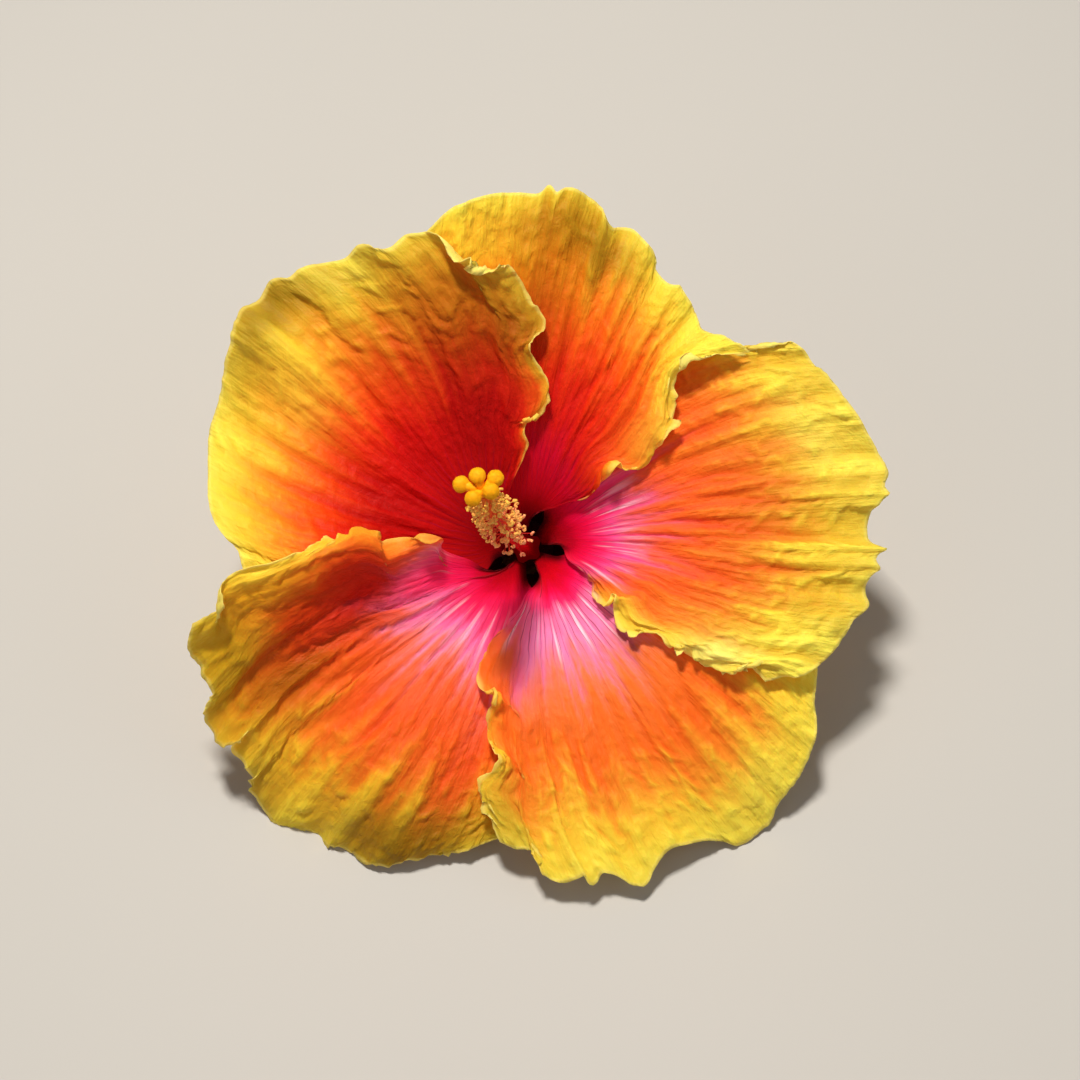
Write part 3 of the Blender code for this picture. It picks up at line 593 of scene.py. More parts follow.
def petalTree():
    tree, given = newTree("petalSheet", [
        ("Rows", "Int", corolla["rows"]), ("Columns", "Int", corolla["columns"]),
        ("Stations", "Int", corolla["stations"]), ("Claw Radius", "Float", corolla["clawRadius"]),
        ("Section Length", "Float", float(sectionAlong[-1])), ("Thickness", "Float", corolla["thickness"]),
        ("Crease Width", "Float", corolla["creaseWidth"]), ("Pleat Height", "Float", corolla["pleatHeight"]),
        ("Crinkle Height", "Float", 1.0), ("Rim Folds", "Float", 1.0),
        ("Ruffle Height", "Float", corolla["ruffleHeight"]), ("Roll Band", "Float", corolla["rollBand"]),
        ("Seed", "Float", 0.0), ("Material", "Material", None),
    ])
    guides, columns, rollBand = given["Geometry"], given["Columns"], given["Roll Band"]
    place, normal = positionOf(tree), normalOf(tree)
    overLine, rimLine, underLine, sectionLine = range(4)   # as petalGuides puts them
    lift, roll = named(tree, "lift"), named(tree, "roll")
    bow, wave = named(tree, "bow", "FLOAT_VECTOR"), named(tree, "wave", "FLOAT_VECTOR")

    def stationAt(fraction):
        # the guide point at or before this fraction of a line, and how far it is to the next one
        last = given["Stations"] - 1
        spot = fraction * last
        low = spot.calc("FLOOR").calc("MINIMUM", last - 1).calc("MAXIMUM", 0.0)
        return low, spot - low

    def read(line, station, value):
        # what a guide line carries there
        low, rest = station
        kind = "FLOAT_VECTOR" if value.socket.type == "VECTOR" else "FLOAT"
        ends = [get(tree, "GeometryNodeSampleIndex", {"data_type": kind}, Geometry=guides, Value=value,
                    Index=low + given["Stations"] * line + step) for step in (0, 1)]
        return ends[0] + (ends[1] - ends[0]) * rest

    # an even sheet, closer drawn at its sides and its claw
    crowding = corolla["sideCrowding"]
    sheet, u, v = evenGrid(tree, given)
    u = u * (1 - crowding) + (0.5 - (u * math.pi).calc("COSINE") * 0.5) * crowding
    sheet = fanned(tree, sheet, u, v ** corolla["clawCrowding"])
    fan = named(tree, "fan", "FLOAT_VECTOR")
    u, v = fan.part("X"), fan.part("Y")

    # straight veins from claw to rim, then both sides drawn in or out to their own outlines
    start, down, end, across = stationAt(v * 0), stationAt(v), stationAt(v * 0 + 1), stationAt(u)
    clawOver, clawUnder = read(overLine, start, place), read(underLine, start, place)
    rim = read(rimLine, across, place)
    claw = clawOver + (clawUnder - clawOver) * u
    flat = claw + (rim - claw) * v
    fall = v.between(*corolla["sideFall"])
    for line, near in ((overLine, 1 - u), (underLine, u)):
        flat = flat + read(line, down, bow) * near ** 2
        flat = flat + read(line, down, wave) * near ** fall

    # the flat place is carried onto the section, with the lifts of the sides and the rim
    distance = (flat.calc("LENGTH") - given["Claw Radius"]) / given["Section Length"]
    onSection = stationAt(distance.calc("MAXIMUM", 0.0).calc("MINIMUM", 1.0))
    overNear, underNear = (1 - u) ** corolla["sideLiftFall"], u ** corolla["sideLiftFall"]
    raised = overNear * read(overLine, down, lift) + underNear * read(underLine, down, lift)
    corners = overNear * read(overLine, end, lift) + underNear * read(underLine, end, lift)
    raised = raised + v ** corolla["rimLiftFall"] * (read(rimLine, across, lift) - corners)
    raised = raised + read(sectionLine, onSection, lift) * (1 - u * 2)
    for azimuth, radius, size, height in corolla["swells"]:
        away = (flat - (*flatPlace(azimuth, radius), 0.0)).calc("LENGTH") / size
        raised = raised + (away * away).fading() * height
    spot = read(sectionLine, onSection, place) + read(sectionLine, onSection, bow) * raised
    radial = flat.calc("NORMALIZE") * spot.part("X")
    sheet = moved(tree, sheet, Position=vectorOf(tree, radial.part("X"), radial.part("Y"), spot.part("Y")))

    # how far each point is from the free margin
    width = (read(overLine, down, place) - read(underLine, down, place)).calc("LENGTH")
    fromOver, fromUnder = u * width, (1 - u) * width
    fromRim = (1 - v) * (rim - claw).calc("LENGTH")
    margin = fromOver.calc("MINIMUM", fromRim).calc("MINIMUM", fromUnder)
    sheet = store(tree, sheet, "margin", margin)

    # creases, measured in the fan of the petal, so that they widen outwards
    fanPlace = vectorOf(tree, u, v)
    near = put(tree, "GeometryNodeProximity", {"target_element": "EDGES"}, Geometry=guides,
               Sample_Position=fanPlace)
    nearest = get(tree, "GeometryNodeSampleNearest", {"domain": "EDGE"}, Geometry=guides,
                  Sample_Position=fanPlace)
    depth = get(tree, "GeometryNodeSampleIndex", {"data_type": "FLOAT", "domain": "EDGE"}, Geometry=guides,
                Value=named(tree, "depth"), Index=nearest)
    away = result(near, "Distance") * corolla["creaseReach"] / given["Crease Width"]
    crease = depth * away.fading()

    # pleats along the veins, crinkles across them, and the waves of the margin: the tissue is puffed up
    # between sunken veins, so each wave has a round top and a narrow valley
    def waves(label):
        across, along, salt, detail, distortion = corolla[label]
        place = vectorOf(tree, u * across, v * along, given["Seed"] + salt)
        return noiseAt(tree, place, detail=detail, distortion=distortion)

    def puffed(label):
        wave = waves(label)
        return (wave * wave + 0.004) ** 0.5 - 0.3

    grown, outer = v.between(0.30, 0.52), v.between(0.5, 0.9)
    puff = (puffed("pleats") + puffed("finePleats") * 0.4) * given["Pleat Height"] * grown
    crinkles = puffed("crinkles") + puffed("fineCrinkles") * 0.3
    puff = puff + crinkles * given["Crinkle Height"] * (grown * 0.35 + outer * 0.65) - crease * grown
    fold = puffed("rimFolds") * outer
    sheet = store(tree, store(tree, sheet, "puff", puff), "fold", fold)
    ruffle = waves("ruffles") * given["Ruffle Height"] * (margin * corolla["ruffleFade"]).fading()
    relief = puff + fold * given["Rim Folds"] + ruffle * v.between(0.35, 0.5)
    sheet = moved(tree, sheet, Offset=normal * relief)

    # margins that roll over: a band along the over side, and one along the rim
    index = get(tree, "GeometryNodeInputIndex")
    for line, station, behind, inside in ((overLine, down, index + 1, fromOver),
                                          (rimLine, across, index - columns, fromRim)):
        before = get(tree, "GeometryNodeFieldAtIndex", {"data_type": "FLOAT_VECTOR"}, Value=place,
                     Index=behind)
        outward = (place - before).calc("NORMALIZE")
        past = (rollBand - inside).calc("MAXIMUM", 0.0)
        turn = read(line, station, roll)
        bend = (turn.calc("ABSOLUTE") + 0.001) / rollBand
        angle = bend * past
        # the band is let out a little, so that a rolled margin still shows its width
        full = (bend * rollBand).calc("MINIMUM", math.pi / 2).calc("SINE") / bend
        stretch = (rollBand - full) / rollBand
        over = outward * (angle.calc("SINE") / bend - past + stretch * past)
        up = normal * ((1 - angle.calc("COSINE")) / bend * turn.calc("SIGN"))
        sheet = moved(tree, sheet, Offset=over + up)

    thinFrom, thinTo = corolla["marginThinning"]
    closed = doubled(tree, sheet, given["Thickness"] * margin.between(0.0, thinFrom, thinTo, 1.0))
    closeTree(tree, closed, given["Material"])
    return tree


def shaderGroup(name, inputs, outputs):
    # a shader node group: the tree, its inputs by name and the node that takes its outputs
    tree = bpy.data.node_groups.new(name, "ShaderNodeTree")
    given = addInputs(tree, inputs)
    for label in outputs:
        tree.interface.new_socket(label, in_out="OUTPUT", socket_type="NodeSocketFloat")
    return tree, given, tree.nodes.new("NodeGroupOutput")


def putGroup(tree, group, **values):
    node = tree.nodes.new("ShaderNodeGroup")
    node.node_tree = group
    for name, value in values.items():
        feed(tree, node.inputs[name.replace("_", " ")], value)
    return node


def useGroup(tree, group, **values):
    return result(putGroup(tree, group, **values))


def makeVeinStreaks():
    # long soft streaks that run out along the veins, from about -1 to 1
    tree, given, leave = shaderGroup("veinStreaks", [
        ("Fan", "Vector", None), ("Count", "Float", 40.0), ("Stretch", "Float", 2.0), ("Seed", "Float", 0.0),
    ], ["Streak"])
    fan = given["Fan"]
    place = vectorOf(tree, fan.part("X") * given["Count"], fan.part("Y") * given["Stretch"], given["Seed"])
    feed(tree, leave.inputs["Streak"], noiseAt(tree, place))
    return tree


def makeFineVeins():
    # thin veins that fan out and wander a little, 1 on a vein
    tree, given, leave = shaderGroup("fineVeins", [
        ("Fan", "Vector", None), ("Count", "Float", 30.0), ("Width", "Float", 0.2), ("Wander", "Float", 0.5),
        ("Seed", "Float", 0.0),
    ], ["Vein"])
    fan = given["Fan"]
    bend = noiseAt(tree, vectorOf(tree, fan.part("X") * 9, fan.part("Y") * 7, given["Seed"]))
    across = fan.part("X") * given["Count"] + bend * given["Wander"]
    side = (across.calc("FRACT") - 0.5).calc("ABSOLUTE") * 2
    feed(tree, leave.inputs["Vein"], side.between(0.0, given["Width"], 1.0, 0.0))
    return tree


def makePaperSkin():
    # the skin of a petal close to: fine ribs along the veins and small crinkles between them
    tree, given, leave = shaderGroup("paperSkin", [
        ("Fan", "Vector", None), ("Ribs", "Float", 150.0), ("Crinkles", "Float", 70.0),
    ], ["Height"])
    u, v = given["Fan"].part("X"), given["Fan"].part("Y")
    ribs = noiseAt(tree, vectorOf(tree, u * given["Ribs"], v * 14, 3.0))
    crinkles = noiseAt(tree, vectorOf(tree, u * given["Crinkles"], v * given["Crinkles"], 7.0), detail=3.0,
                       distortion=0.8)
    feed(tree, leave.inputs["Height"], ribs * 0.5 + crinkles * 0.5)
    return tree


def makeVelvetNap():
    # fine uneven nap, from about -1 to 1
    tree, given, leave = shaderGroup("velvetNap", [("Place", "Vector", None), ("Fineness", "Float", 900.0)],
                                     ["Nap"])
    coarse = noiseAt(tree, given["Place"], given["Fineness"], detail=3.0)
    fine = noiseAt(tree, given["Place"], given["Fineness"] * 3.7)
    feed(tree, leave.inputs["Nap"], coarse * 0.6 + fine * 0.4)
    return tree


veinStreaks, fineVeins = makeVeinStreaks(), makeFineVeins()
paperSkin, velvetNap = makePaperSkin(), makeVelvetNap()


def newFinish(name, roughness, specular=0.3):
    finish = bpy.data.materials.new(name)
    finish.use_nodes = True
    shader = finish.node_tree.nodes["Principled BSDF"]
    shader.inputs["Roughness"].default_value = roughness
    shader.inputs["Specular IOR Level"].default_value = specular
    return finish, finish.node_tree, shader


def attributeOf(tree, name):
    return Field(put(tree, "ShaderNodeAttribute", {"attribute_name": name}).outputs["Fac"])


def fanOf(tree):
    return get(tree, "ShaderNodeUVMap", {"uv_map": "fan"})


def objectPlace(tree):
    return result(put(tree, "ShaderNodeTexCoord"), "Object")


def ramp(tree, factor, tones):
    node = put(tree, "ShaderNodeValToRGB", Fac=factor)
    elements = node.color_ramp.elements
    while len(elements) < len(tones):
        elements.new(1.0)
    for element, (position, code) in zip(elements, tones):
        element.position = position
        element.color = paint(code)
    return Field(node.outputs["Color"])


def blendTo(tree, share, first, second, kind="MIX"):
    return get(tree, "ShaderNodeMix", {"data_type": "RGBA", "blend_type": kind, "clamp_factor": True},
               Factor=share, A=first, B=second)


def bumped(tree, shader, height, distance, strength):
    bump = get(tree, "ShaderNodeBump", Height=height, Distance=distance * mm, Strength=strength)
    feed(tree, shader.inputs["Normal"], bump)


def bendOf(tree, factor, turns):
    # a smooth curve through given points, from about -1 to 1
    node = put(tree, "ShaderNodeFloatCurve", Value=factor)
    curve = node.mapping.curves[0]
    while len(curve.points) < len(turns):
        curve.points.new(0.5, 0.5)
    for point, (x, y) in zip(curve.points, turns):
        point.location = (x, 0.5 + y / 2)
    node.mapping.update()
    return (Field(node.outputs[0]) - 0.5) * 2


# Places on a petal are fractions: across from its over side to its under side, along from claw to rim.
# For each petal: "tones" from claw to rim, and "shift", how far they are drawn in or out at each place
# across. "pink" is the strength of the pale streaks in the throat and "veins" of the dark veins there.
# "margin" is how much yellower the free margin is. "ridges" and "folds" are how much small relief and
# broad folds lighten the tone, partly the petal's own streaking and partly painted highlight on crests and
# painted shade in hollows; "rays" is how strongly it streaks outwards, and "valleys" how dark the bottoms
# of folds are, which is painted shade. A flush is a soft spot of another colour: across, along, how wide,
# how long, colour and strength; some flushes are the petal's own colour, others painted light and painted
# shade. A shade is painted shade: the same without a colour, it darkens where the petal turns from the
# light or lies in a shadow.
petalLooks = {
    "petalUpperLeft": {
        # darker tones and no pink in the throat: painted shade, as this petal turns from the light
        "tones": [(0.0, "#8a0210"), (0.30, "#9a0309"), (0.42, "#b20409"), (0.50, "#b80506"),
                  (0.58, "#c80d06"),
                  (0.64, "#e0280a"), (0.70, "#ee480e"), (0.75, "#f46616"), (0.80, "#f8881e"),
                  (0.85, "#f8a828"),
                  (0.90, "#f8c433"), (0.95, "#f8d640"), (1.0, "#f8de4e")],
        "shift": [(0.0, 0.02), (0.1, -0.04), (0.2, -0.05), (0.3, -0.01), (0.42, 0.01), (0.6, 0.0),
                  (1.0, 0.0)],
        "pink": 0.0, "margin": 0.8, "ridges": 0.7, "rays": 0.8, "veins": 0.35,
        "valleys": 0.25, "folds": 0.6,
        "shades": [(0.19, 0.77, 0.19, 0.26, 0.6), (0.05, 0.86, 0.08, 0.12, 0.7),
                   (0.46, 0.97, 0.13, 0.06, 0.95),
                   (0.7, 0.6, 0.11, 0.12, 0.4)],
        # the mustard and brown-orange flushes are painted shade
        "flushesAndPaintedLight": [(0.55, 0.86, 0.07, 0.09, "#f8ca3c", 0.6), (0.48, 0.98, 0.09, 0.05, "#c8a41c", 0.6),
                    (0.15, 0.86, 0.15, 0.08, "#cc7a12", 0.6)],
    },
    "petalTop": {
        # darker tones and no pink in the throat: painted shade, as this petal turns from the light
        "tones": [(0.0, "#700010"), (0.20, "#80000e"), (0.28, "#a0000c"), (0.35, "#c00018"),
                  (0.42, "#c80428"),
                  (0.50, "#ca120e"), (0.58, "#d82408"), (0.66, "#ec420c"), (0.74, "#f66412"),
                  (0.81, "#f98c20"),
                  (0.87, "#f8b22c"), (0.93, "#f8cc36"), (1.0, "#f4d844")],
        "shift": [(0.0, 0.12), (0.08, 0.06), (0.2, 0.02), (0.4, -0.02), (0.6, -0.05), (1.0, -0.02)],
        "pink": 0.0, "margin": 0.8, "ridges": 0.9, "rays": 1.0, "veins": 0.35,
        "valleys": 0.15, "folds": 0.6,
        "shades": [(0.6, 0.76, 0.1, 0.15, 0.65), (0.45, 0.93, 0.11, 0.07, 0.8),
                   (0.63, 0.94, 0.08, 0.05, 0.5)],
        # the ochre and olive flushes are painted shade
        "flushesAndPaintedLight": [(0.02, 0.68, 0.09, 0.12, "#f8b438", 0.65), (0.78, 0.9, 0.07, 0.05, "#f8d43a", 0.7),
                    (0.62, 0.86, 0.2, 0.13, "#dca412", 0.45),
                    (0.54, 0.93, 0.12, 0.05, "#b8900e", 0.5)],
    },
    "petalRight": {
        "tones": [(0.0, "#b4000e"), (0.14, "#98000f"), (0.22, "#ac0014"), (0.27, "#bc0024"),
                  (0.30, "#d60130"),
                  (0.34, "#ea0746"), (0.38, "#f22666"), (0.42, "#f54a8a"), (0.46, "#f7607c"),
                  (0.50, "#f65a44"),
                  (0.55, "#f75c22"), (0.60, "#f9681c"), (0.66, "#fa7a22"), (0.71, "#fa9028"),
                  (0.77, "#faa82e"),
                  (0.82, "#f8c036"), (0.87, "#f8d23e"), (1.0, "#f6de50")],
        "shift": [(0.0, 0.1), (0.08, 0.05), (0.2, 0.02), (0.32, 0.01), (0.42, 0.0), (0.54, 0.03), (0.66, 0.0),
                  (0.8, 0.0), (1.0, 0.05)],
        "pink": 0.7, "margin": 0.9, "ridges": 1.4, "rays": 2.3, "veins": 0.4,
        "valleys": 0.45, "folds": 1.2,
        "shades": [(0.63, 0.46, 0.08, 0.07, 0.5), (0.03, 0.4, 0.05, 0.06, 0.4)],
        "flushesAndPaintedLight": [(0.0, 0.72, 0.07, 0.2, "#f8d240", 0.8), (0.05, 0.81, 0.06, 0.07, "#fff080", 0.7),
                    (0.66, 0.9, 0.1, 0.06, "#fae860", 0.5)],
    },
    "petalBottom": {
        "tones": [(0.0, "#b4000e"), (0.14, "#b40010"), (0.22, "#cc0018"), (0.27, "#d40030"),
                  (0.30, "#e60044"),
                  (0.335, "#f02064"), (0.37, "#f66c9c"), (0.43, "#fa82b4"), (0.47, "#f87e98"),
                  (0.52, "#f87850"),
                  (0.57, "#f8702a"), (0.65, "#f86a1a"), (0.71, "#f87c20"), (0.77, "#f89226"),
                  (0.82, "#f8aa2c"),
                  (0.87, "#f8c234"), (0.94, "#f8d23e"), (1.0, "#f6d848")],
        "shift": [(0.0, 0.0), (0.1, 0.0), (0.25, 0.03), (0.4, 0.0), (0.55, 0.02), (0.8, 0.02), (1.0, 0.06)],
        "pink": 1.2, "margin": 0.7, "ridges": 1.5, "rays": 1.5, "veins": 0.7,
        "valleys": 0.12, "folds": 0.5,
        "shades": [(0.66, 0.5, 0.03, 0.06, 0.8), (0.04, 0.92, 0.07, 0.1, 0.55)],
        # the four flushes near the over side are painted light and shade, brightening and reddening where the
        # lip and the stamens cast shadow
        "flushesAndPaintedLight": [(0.03, 0.54, 0.07, 0.09, "#ff6a1c", 0.8), (0.03, 0.4, 0.06, 0.06, "#ff3c6c", 0.7),
                    (0.1, 0.52, 0.04, 0.09, "#f0300c", 0.6), (0.17, 0.44, 0.08, 0.11, "#ff7cb8", 0.6),
                    (0.66, 0.94, 0.12, 0.06, "#fae050", 0.5)],
    },
    "petalLowerLeft": {
        "tones": [(0.0, "#b4000e"), (0.14, "#aa0010"), (0.22, "#b80018"), (0.27, "#cc022c"),
                  (0.30, "#e4063e"),
                  (0.35, "#f21c58"), (0.39, "#f43c72"), (0.43, "#f868a0"), (0.47, "#f87e98"),
                  (0.51, "#f66c5c"),
                  (0.56, "#f65e30"), (0.63, "#f65a1c"), (0.69, "#f4681c"), (0.75, "#f2801e"),
                  (0.80, "#f29e24"),
                  (0.86, "#f2b82a"), (1.0, "#f0cc38")],
        "shift": [(0.0, 0.08), (0.07, 0.04), (0.16, -0.05), (0.3, -0.06), (0.4, -0.01), (0.6, 0.0),
                  (0.8, -0.03),
                  (1.0, 0.02)],
        "pink": 0.6, "margin": 0.8, "ridges": 1.4, "rays": 1.5, "veins": 0.25,
        "valleys": 0.25, "folds": 0.6,
        "shades": [(0.2, 0.66, 0.1, 0.14, 0.2), (0.28, 0.86, 0.06, 0.1, 0.8), (0.13, 0.94, 0.1, 0.08, 0.65),
                   (0.75, 0.94, 0.16, 0.08, 1.0), (0.43, 0.98, 0.06, 0.05, 0.5)],
        # the deep red flush is partly the petal's own red and partly painted shade below the lip; the
        # red-brown, brown-orange, olive and mustard ones are painted shade; the two crimson-pink ones are
        # painted light where shadow falls
        "flushesAndPaintedLight": [(0.17, 0.63, 0.13, 0.17, "#c00c02", 0.98), (0.16, 0.8, 0.09, 0.06, "#b81c02", 0.8),
                    (0.18, 0.4, 0.1, 0.09, "#ff1458", 0.75), (0.72, 0.96, 0.1, 0.05, "#a87c0a", 0.6),
                    (0.27, 0.87, 0.06, 0.08, "#d88410", 0.6), (0.1, 0.95, 0.1, 0.07, "#d8ac1e", 0.8),
                    (0.07, 0.84, 0.05, 0.08, "#e8a21c", 0.75), (0.0, 0.8, 0.035, 0.14, "#ffd23c", 0.9),
                    (0.01, 0.5, 0.04, 0.1, "#f8902c", 0.7), (0.9, 0.42, 0.08, 0.1, "#ff3c8a", 0.6)],
    },
}

petalSkin = {
    "roughness": 0.56, "roughnessRange": 0.08, "specular": 0.12,
    "scatter": 0.25, "scatterRadius": (1.0, 0.4, 0.25), "scatterDepth": 2.0,
    "paintedGlow": 0.07,   # painted glow: the petal gives off a little of its own colour, standing in for light that comes through thin tissue
    # streaks along the veins: how many across, how often they change on the way out, seed
    "streak": (46.0, 2.2, 0), "ray": (13.0, 2.0, 9), "hair": (130.0, 5.0, 17),
    "paleStreak": (27.0, 2.6, 41), "grain": (80.0, 9.0, 29),
    "veinCount": 26.0, "veinWidth": 0.22, "veinWander": 0.7,
    # how far streaks, clouds and the free margin draw the tone out
    "streakDraw": 0.034, "streakBase": 0.012, "rayDraw": 0.036, "hairDraw": 0.012, "cloudDraw": 0.014,
    "marginDraw": 0.42,
    # the lowest and highest relief, and how far it draws the tone at both: partly the petal's own streaking,
    # partly painted highlight on crests and painted shade in hollows
    "ridgeToneAndLight": (-1.2, 1.0, -0.07, 0.05), "foldToneAndLight": (-0.2, 0.3, -0.02, 0.07),
    # places along: where the veins have spread, and where their streaks calm down towards the rim
    "spread": (0.3, 0.6), "calm": (0.76, 0.95, 1.0, 0.5),
    "ribs": 150.0, "crinkles": 75.0, "bumpDepth": 0.22, "bumpStrength": 0.9,
    "marginReach": 2.6, "marginUneven": 1.4,
    "valleyShadeColour": "#b89648", "shadeColour": "#aea484", "slotShadeColour": "#1e0004", "paleColour": "#ffd9e6",
    "veinColour": "#8c0a3c", "grainColour": "#c83208", "edgeColour": "#ffe27a",
    "backTones": [(0.0, "#5a0a14"), (0.30, "#8c1a20"), (0.45, "#e08a50"), (0.65, "#f09a3c"),
                  (0.85, "#f4c848"), (1.0, "#f8e070")],
}


def petalFinish(name, look, seed):
    skin = petalSkin
    finish, tree, shader = newFinish(name + "Petal", skin["roughness"], skin["specular"])
    shader.inputs["Subsurface Weight"].default_value = skin["scatter"]
    shader.inputs["Subsurface Radius"].default_value = skin["scatterRadius"]
    shader.inputs["Subsurface Scale"].default_value = skin["scatterDepth"] * mm
    shader.inputs["Emission Strength"].default_value = skin["paintedGlow"]
    fan = fanOf(tree)
    u, v = fan.part("X"), fan.part("Y")
    margin, puff, fold, outer = (attributeOf(tree, label) for label in ("margin", "puff", "fold", "outer"))

    def streaks(label):
        count, stretch, salt = skin[label]
        return useGroup(tree, veinStreaks, Fan=fan, Count=count, Stretch=stretch, Seed=seed + salt)

    def cloudsAt(across, along, salt, detail):
        return noiseAt(tree, vectorOf(tree, u * across, v * along, seed + salt), detail=detail)

    # the tone is the place along, drawn in and out by the veins, the relief and the free margin; the relief's
    # part is partly painted highlight and painted shade
    streak, cloud = streaks("streak"), cloudsAt(7, 9, 5, 3.0)
    grown, calm = v.between(*skin["spread"]), v.between(*skin["calm"])
    drawn = streak * (grown * skin["streakDraw"] + skin["streakBase"])
    drawn = drawn + streaks("ray") * grown * (skin["rayDraw"] * look["rays"])
    drawn = drawn + streaks("hair") * grown * skin["hairDraw"]
    tone = v + bendOf(tree, u, look["shift"]) * grown + drawn * calm + cloud * skin["cloudDraw"]
    tone = tone + puff.between(*skin["ridgeToneAndLight"], smooth=False) * look["ridges"]
    tone = tone + fold.between(*skin["foldToneAndLight"], smooth=False) * look["folds"]
    reach = cloudsAt(22, 22, 33, 2.0) * skin["marginUneven"] + skin["marginReach"]
    band = (margin / reach).fading() * v.between(0.38, 0.5)
    tone = tone + band * (skin["marginDraw"] * look["margin"]) * v.between(0.4, 1.0, 1.0, 0.25)
    colour = ramp(tree, tone, look["tones"])
    # painted shade: the bottoms of folds and small hollows are darkened towards olive
    valley = fold.between(-0.2, 0.02, 1.0, 0.0) + puff.between(-0.75, -0.3, 0.6, 0.0)
    valley = valley.calc("MINIMUM", 1.0) * v.between(0.5, 0.75)
    colour = blendTo(tree, valley * look["valleys"], colour, paint(skin["valleyShadeColour"]), "MULTIPLY")

    def spot(across, along, wide, long):
        # 1 in the middle of a soft spot, whose rim is a little ragged
        place = vectorOf(tree, (u - across + cloud * 0.02) / wide, (v - along + streak * 0.03) / long)
        away = place.calc("LENGTH")
        return (away * away).fading()

    # soft spots of colour: some are the petal's own, others painted light and painted shade
    for *size, code, strength in look["flushesAndPaintedLight"]:
        colour = blendTo(tree, spot(*size) * strength, colour, paint(code))
    # painted shade where the petal turns from the light or lies in a shadow
    for *size, strength in look["shades"]:
        colour = blendTo(tree, spot(*size) * strength, colour, paint(skin["shadeColour"]), "MULTIPLY")

    # painted shade: the petal darkens to near black at the slot beside its claw, where the cup is dark
    slit = margin.between(0.3, 4.6, 1.0, 0.0) * v.between(0.22, 0.31, 1.0, 0.0)
    colour = blendTo(tree, slit * 0.9, colour, paint(skin["slotShadeColour"]))

    # the throat: fine dark veins, and pale streaks between them where the petal is pink
    throat = v.between(0.27, 0.34) * v.between(0.42, 0.54, 1.0, 0.0)
    pale = streaks("paleStreak").between(0.05, 0.45) * v.between(0.33, 0.38) * v.between(0.42, 0.52, 1.0, 0.0)
    colour = blendTo(tree, pale * (0.7 * look["pink"]), colour, paint(skin["paleColour"]))
    vein = useGroup(tree, fineVeins, Fan=fan, Count=skin["veinCount"], Width=skin["veinWidth"],
                    Wander=skin["veinWander"], Seed=seed + 3)
    colour = blendTo(tree, vein * throat * look["veins"], colour, paint(skin["veinColour"]))
    grain = streaks("grain").between(0.1, 0.8) * grown * 0.16
    colour = blendTo(tree, grain, colour, paint(skin["grainColour"]), "MULTIPLY")

    # the margin's pale line, and the paler outside
    edge = margin.between(0.15, 0.9, 1.0, 0.0) * v.between(0.4, 0.6)
    colour = blendTo(tree, edge * 0.5, colour, paint(skin["edgeColour"]))
    colour = blendTo(tree, outer * 0.8, colour, ramp(tree, tone, skin["backTones"]))
    feed(tree, shader.inputs["Base Color"], colour)
    # painted glow: the petal gives off a little of its own colour
    feed(tree, shader.inputs["Emission Color"], colour)
    paper = useGroup(tree, paperSkin, Fan=fan, Ribs=skin["ribs"], Crinkles=skin["crinkles"])
    feed(tree, shader.inputs["Roughness"], paper * skin["roughnessRange"] + skin["roughness"])
    relief = paper * (grown * 0.6 + v.between(0.7, 0.95, 0.2, 0.5)) + vein * 0.15
    bumped(tree, shader, relief, skin["bumpDepth"], skin["bumpStrength"])
    return finish


def makePetals():
    tree = petalTree()
    seedStep = 7.0   # between the noises of two petals
    for name, shape in petals.items():
        piece = growMesh(name, petalGuides(name, shape), tree, {
            "Seed": shape["seed"] * seedStep, "Crinkle Height": shape["crinkle"], "Rim Folds": shape["folds"],
            "Material": petalFinish(name, petalLooks[name], shape["seed"]),
        })
        settle(piece, "petal", shape["node"])


makePetals()
print("petals made")


# The column leans away from the axis and carries the stamens in a spiral; the style runs through it and
# ends in five stigma pads. Lengths in millimetres, fractions are along the column from its foot.
column = {
    "line": [(0, 0, 0.5), (-0.2, 0.2, 12), (-0.9, 0.9, 25), (-2.5, 2.4, 40), (-4.7, 5.0, 54), (-6.6, 8.0, 65),
             (-7.8, 10.6, 73)],
    "girth": [(0, 3.3), (0.03, 3.2), (0.09, 2.7), (0.14, 2.1), (0.2, 1.75), (0.24, 1.65), (0.6, 1.4),
              (0.9, 1.25), (0.97, 1.1), (1, 0.8)],
    "stations": 160, "sides": 40,
    "ribs": 5, "ribHeight": 0.05,
    "footLobes": 0.55, "lobeAzimuth": 33, "lobesEnd": 13,   # the foot widens towards each claw
    "skin": {
        "tones": [(0.0, "#ac040c"), (0.25, "#b40810"), (0.5, "#c81412"), (0.75, "#d84420"), (1.0, "#e89430")],
        # the glow is painted light in the darkest red, so the foot deep in the throat is not black
        "follows": {"along": 0.9, "rib": 0.04}, "roughness": 0.42, "paintedGlow": 0.16,
    },
}

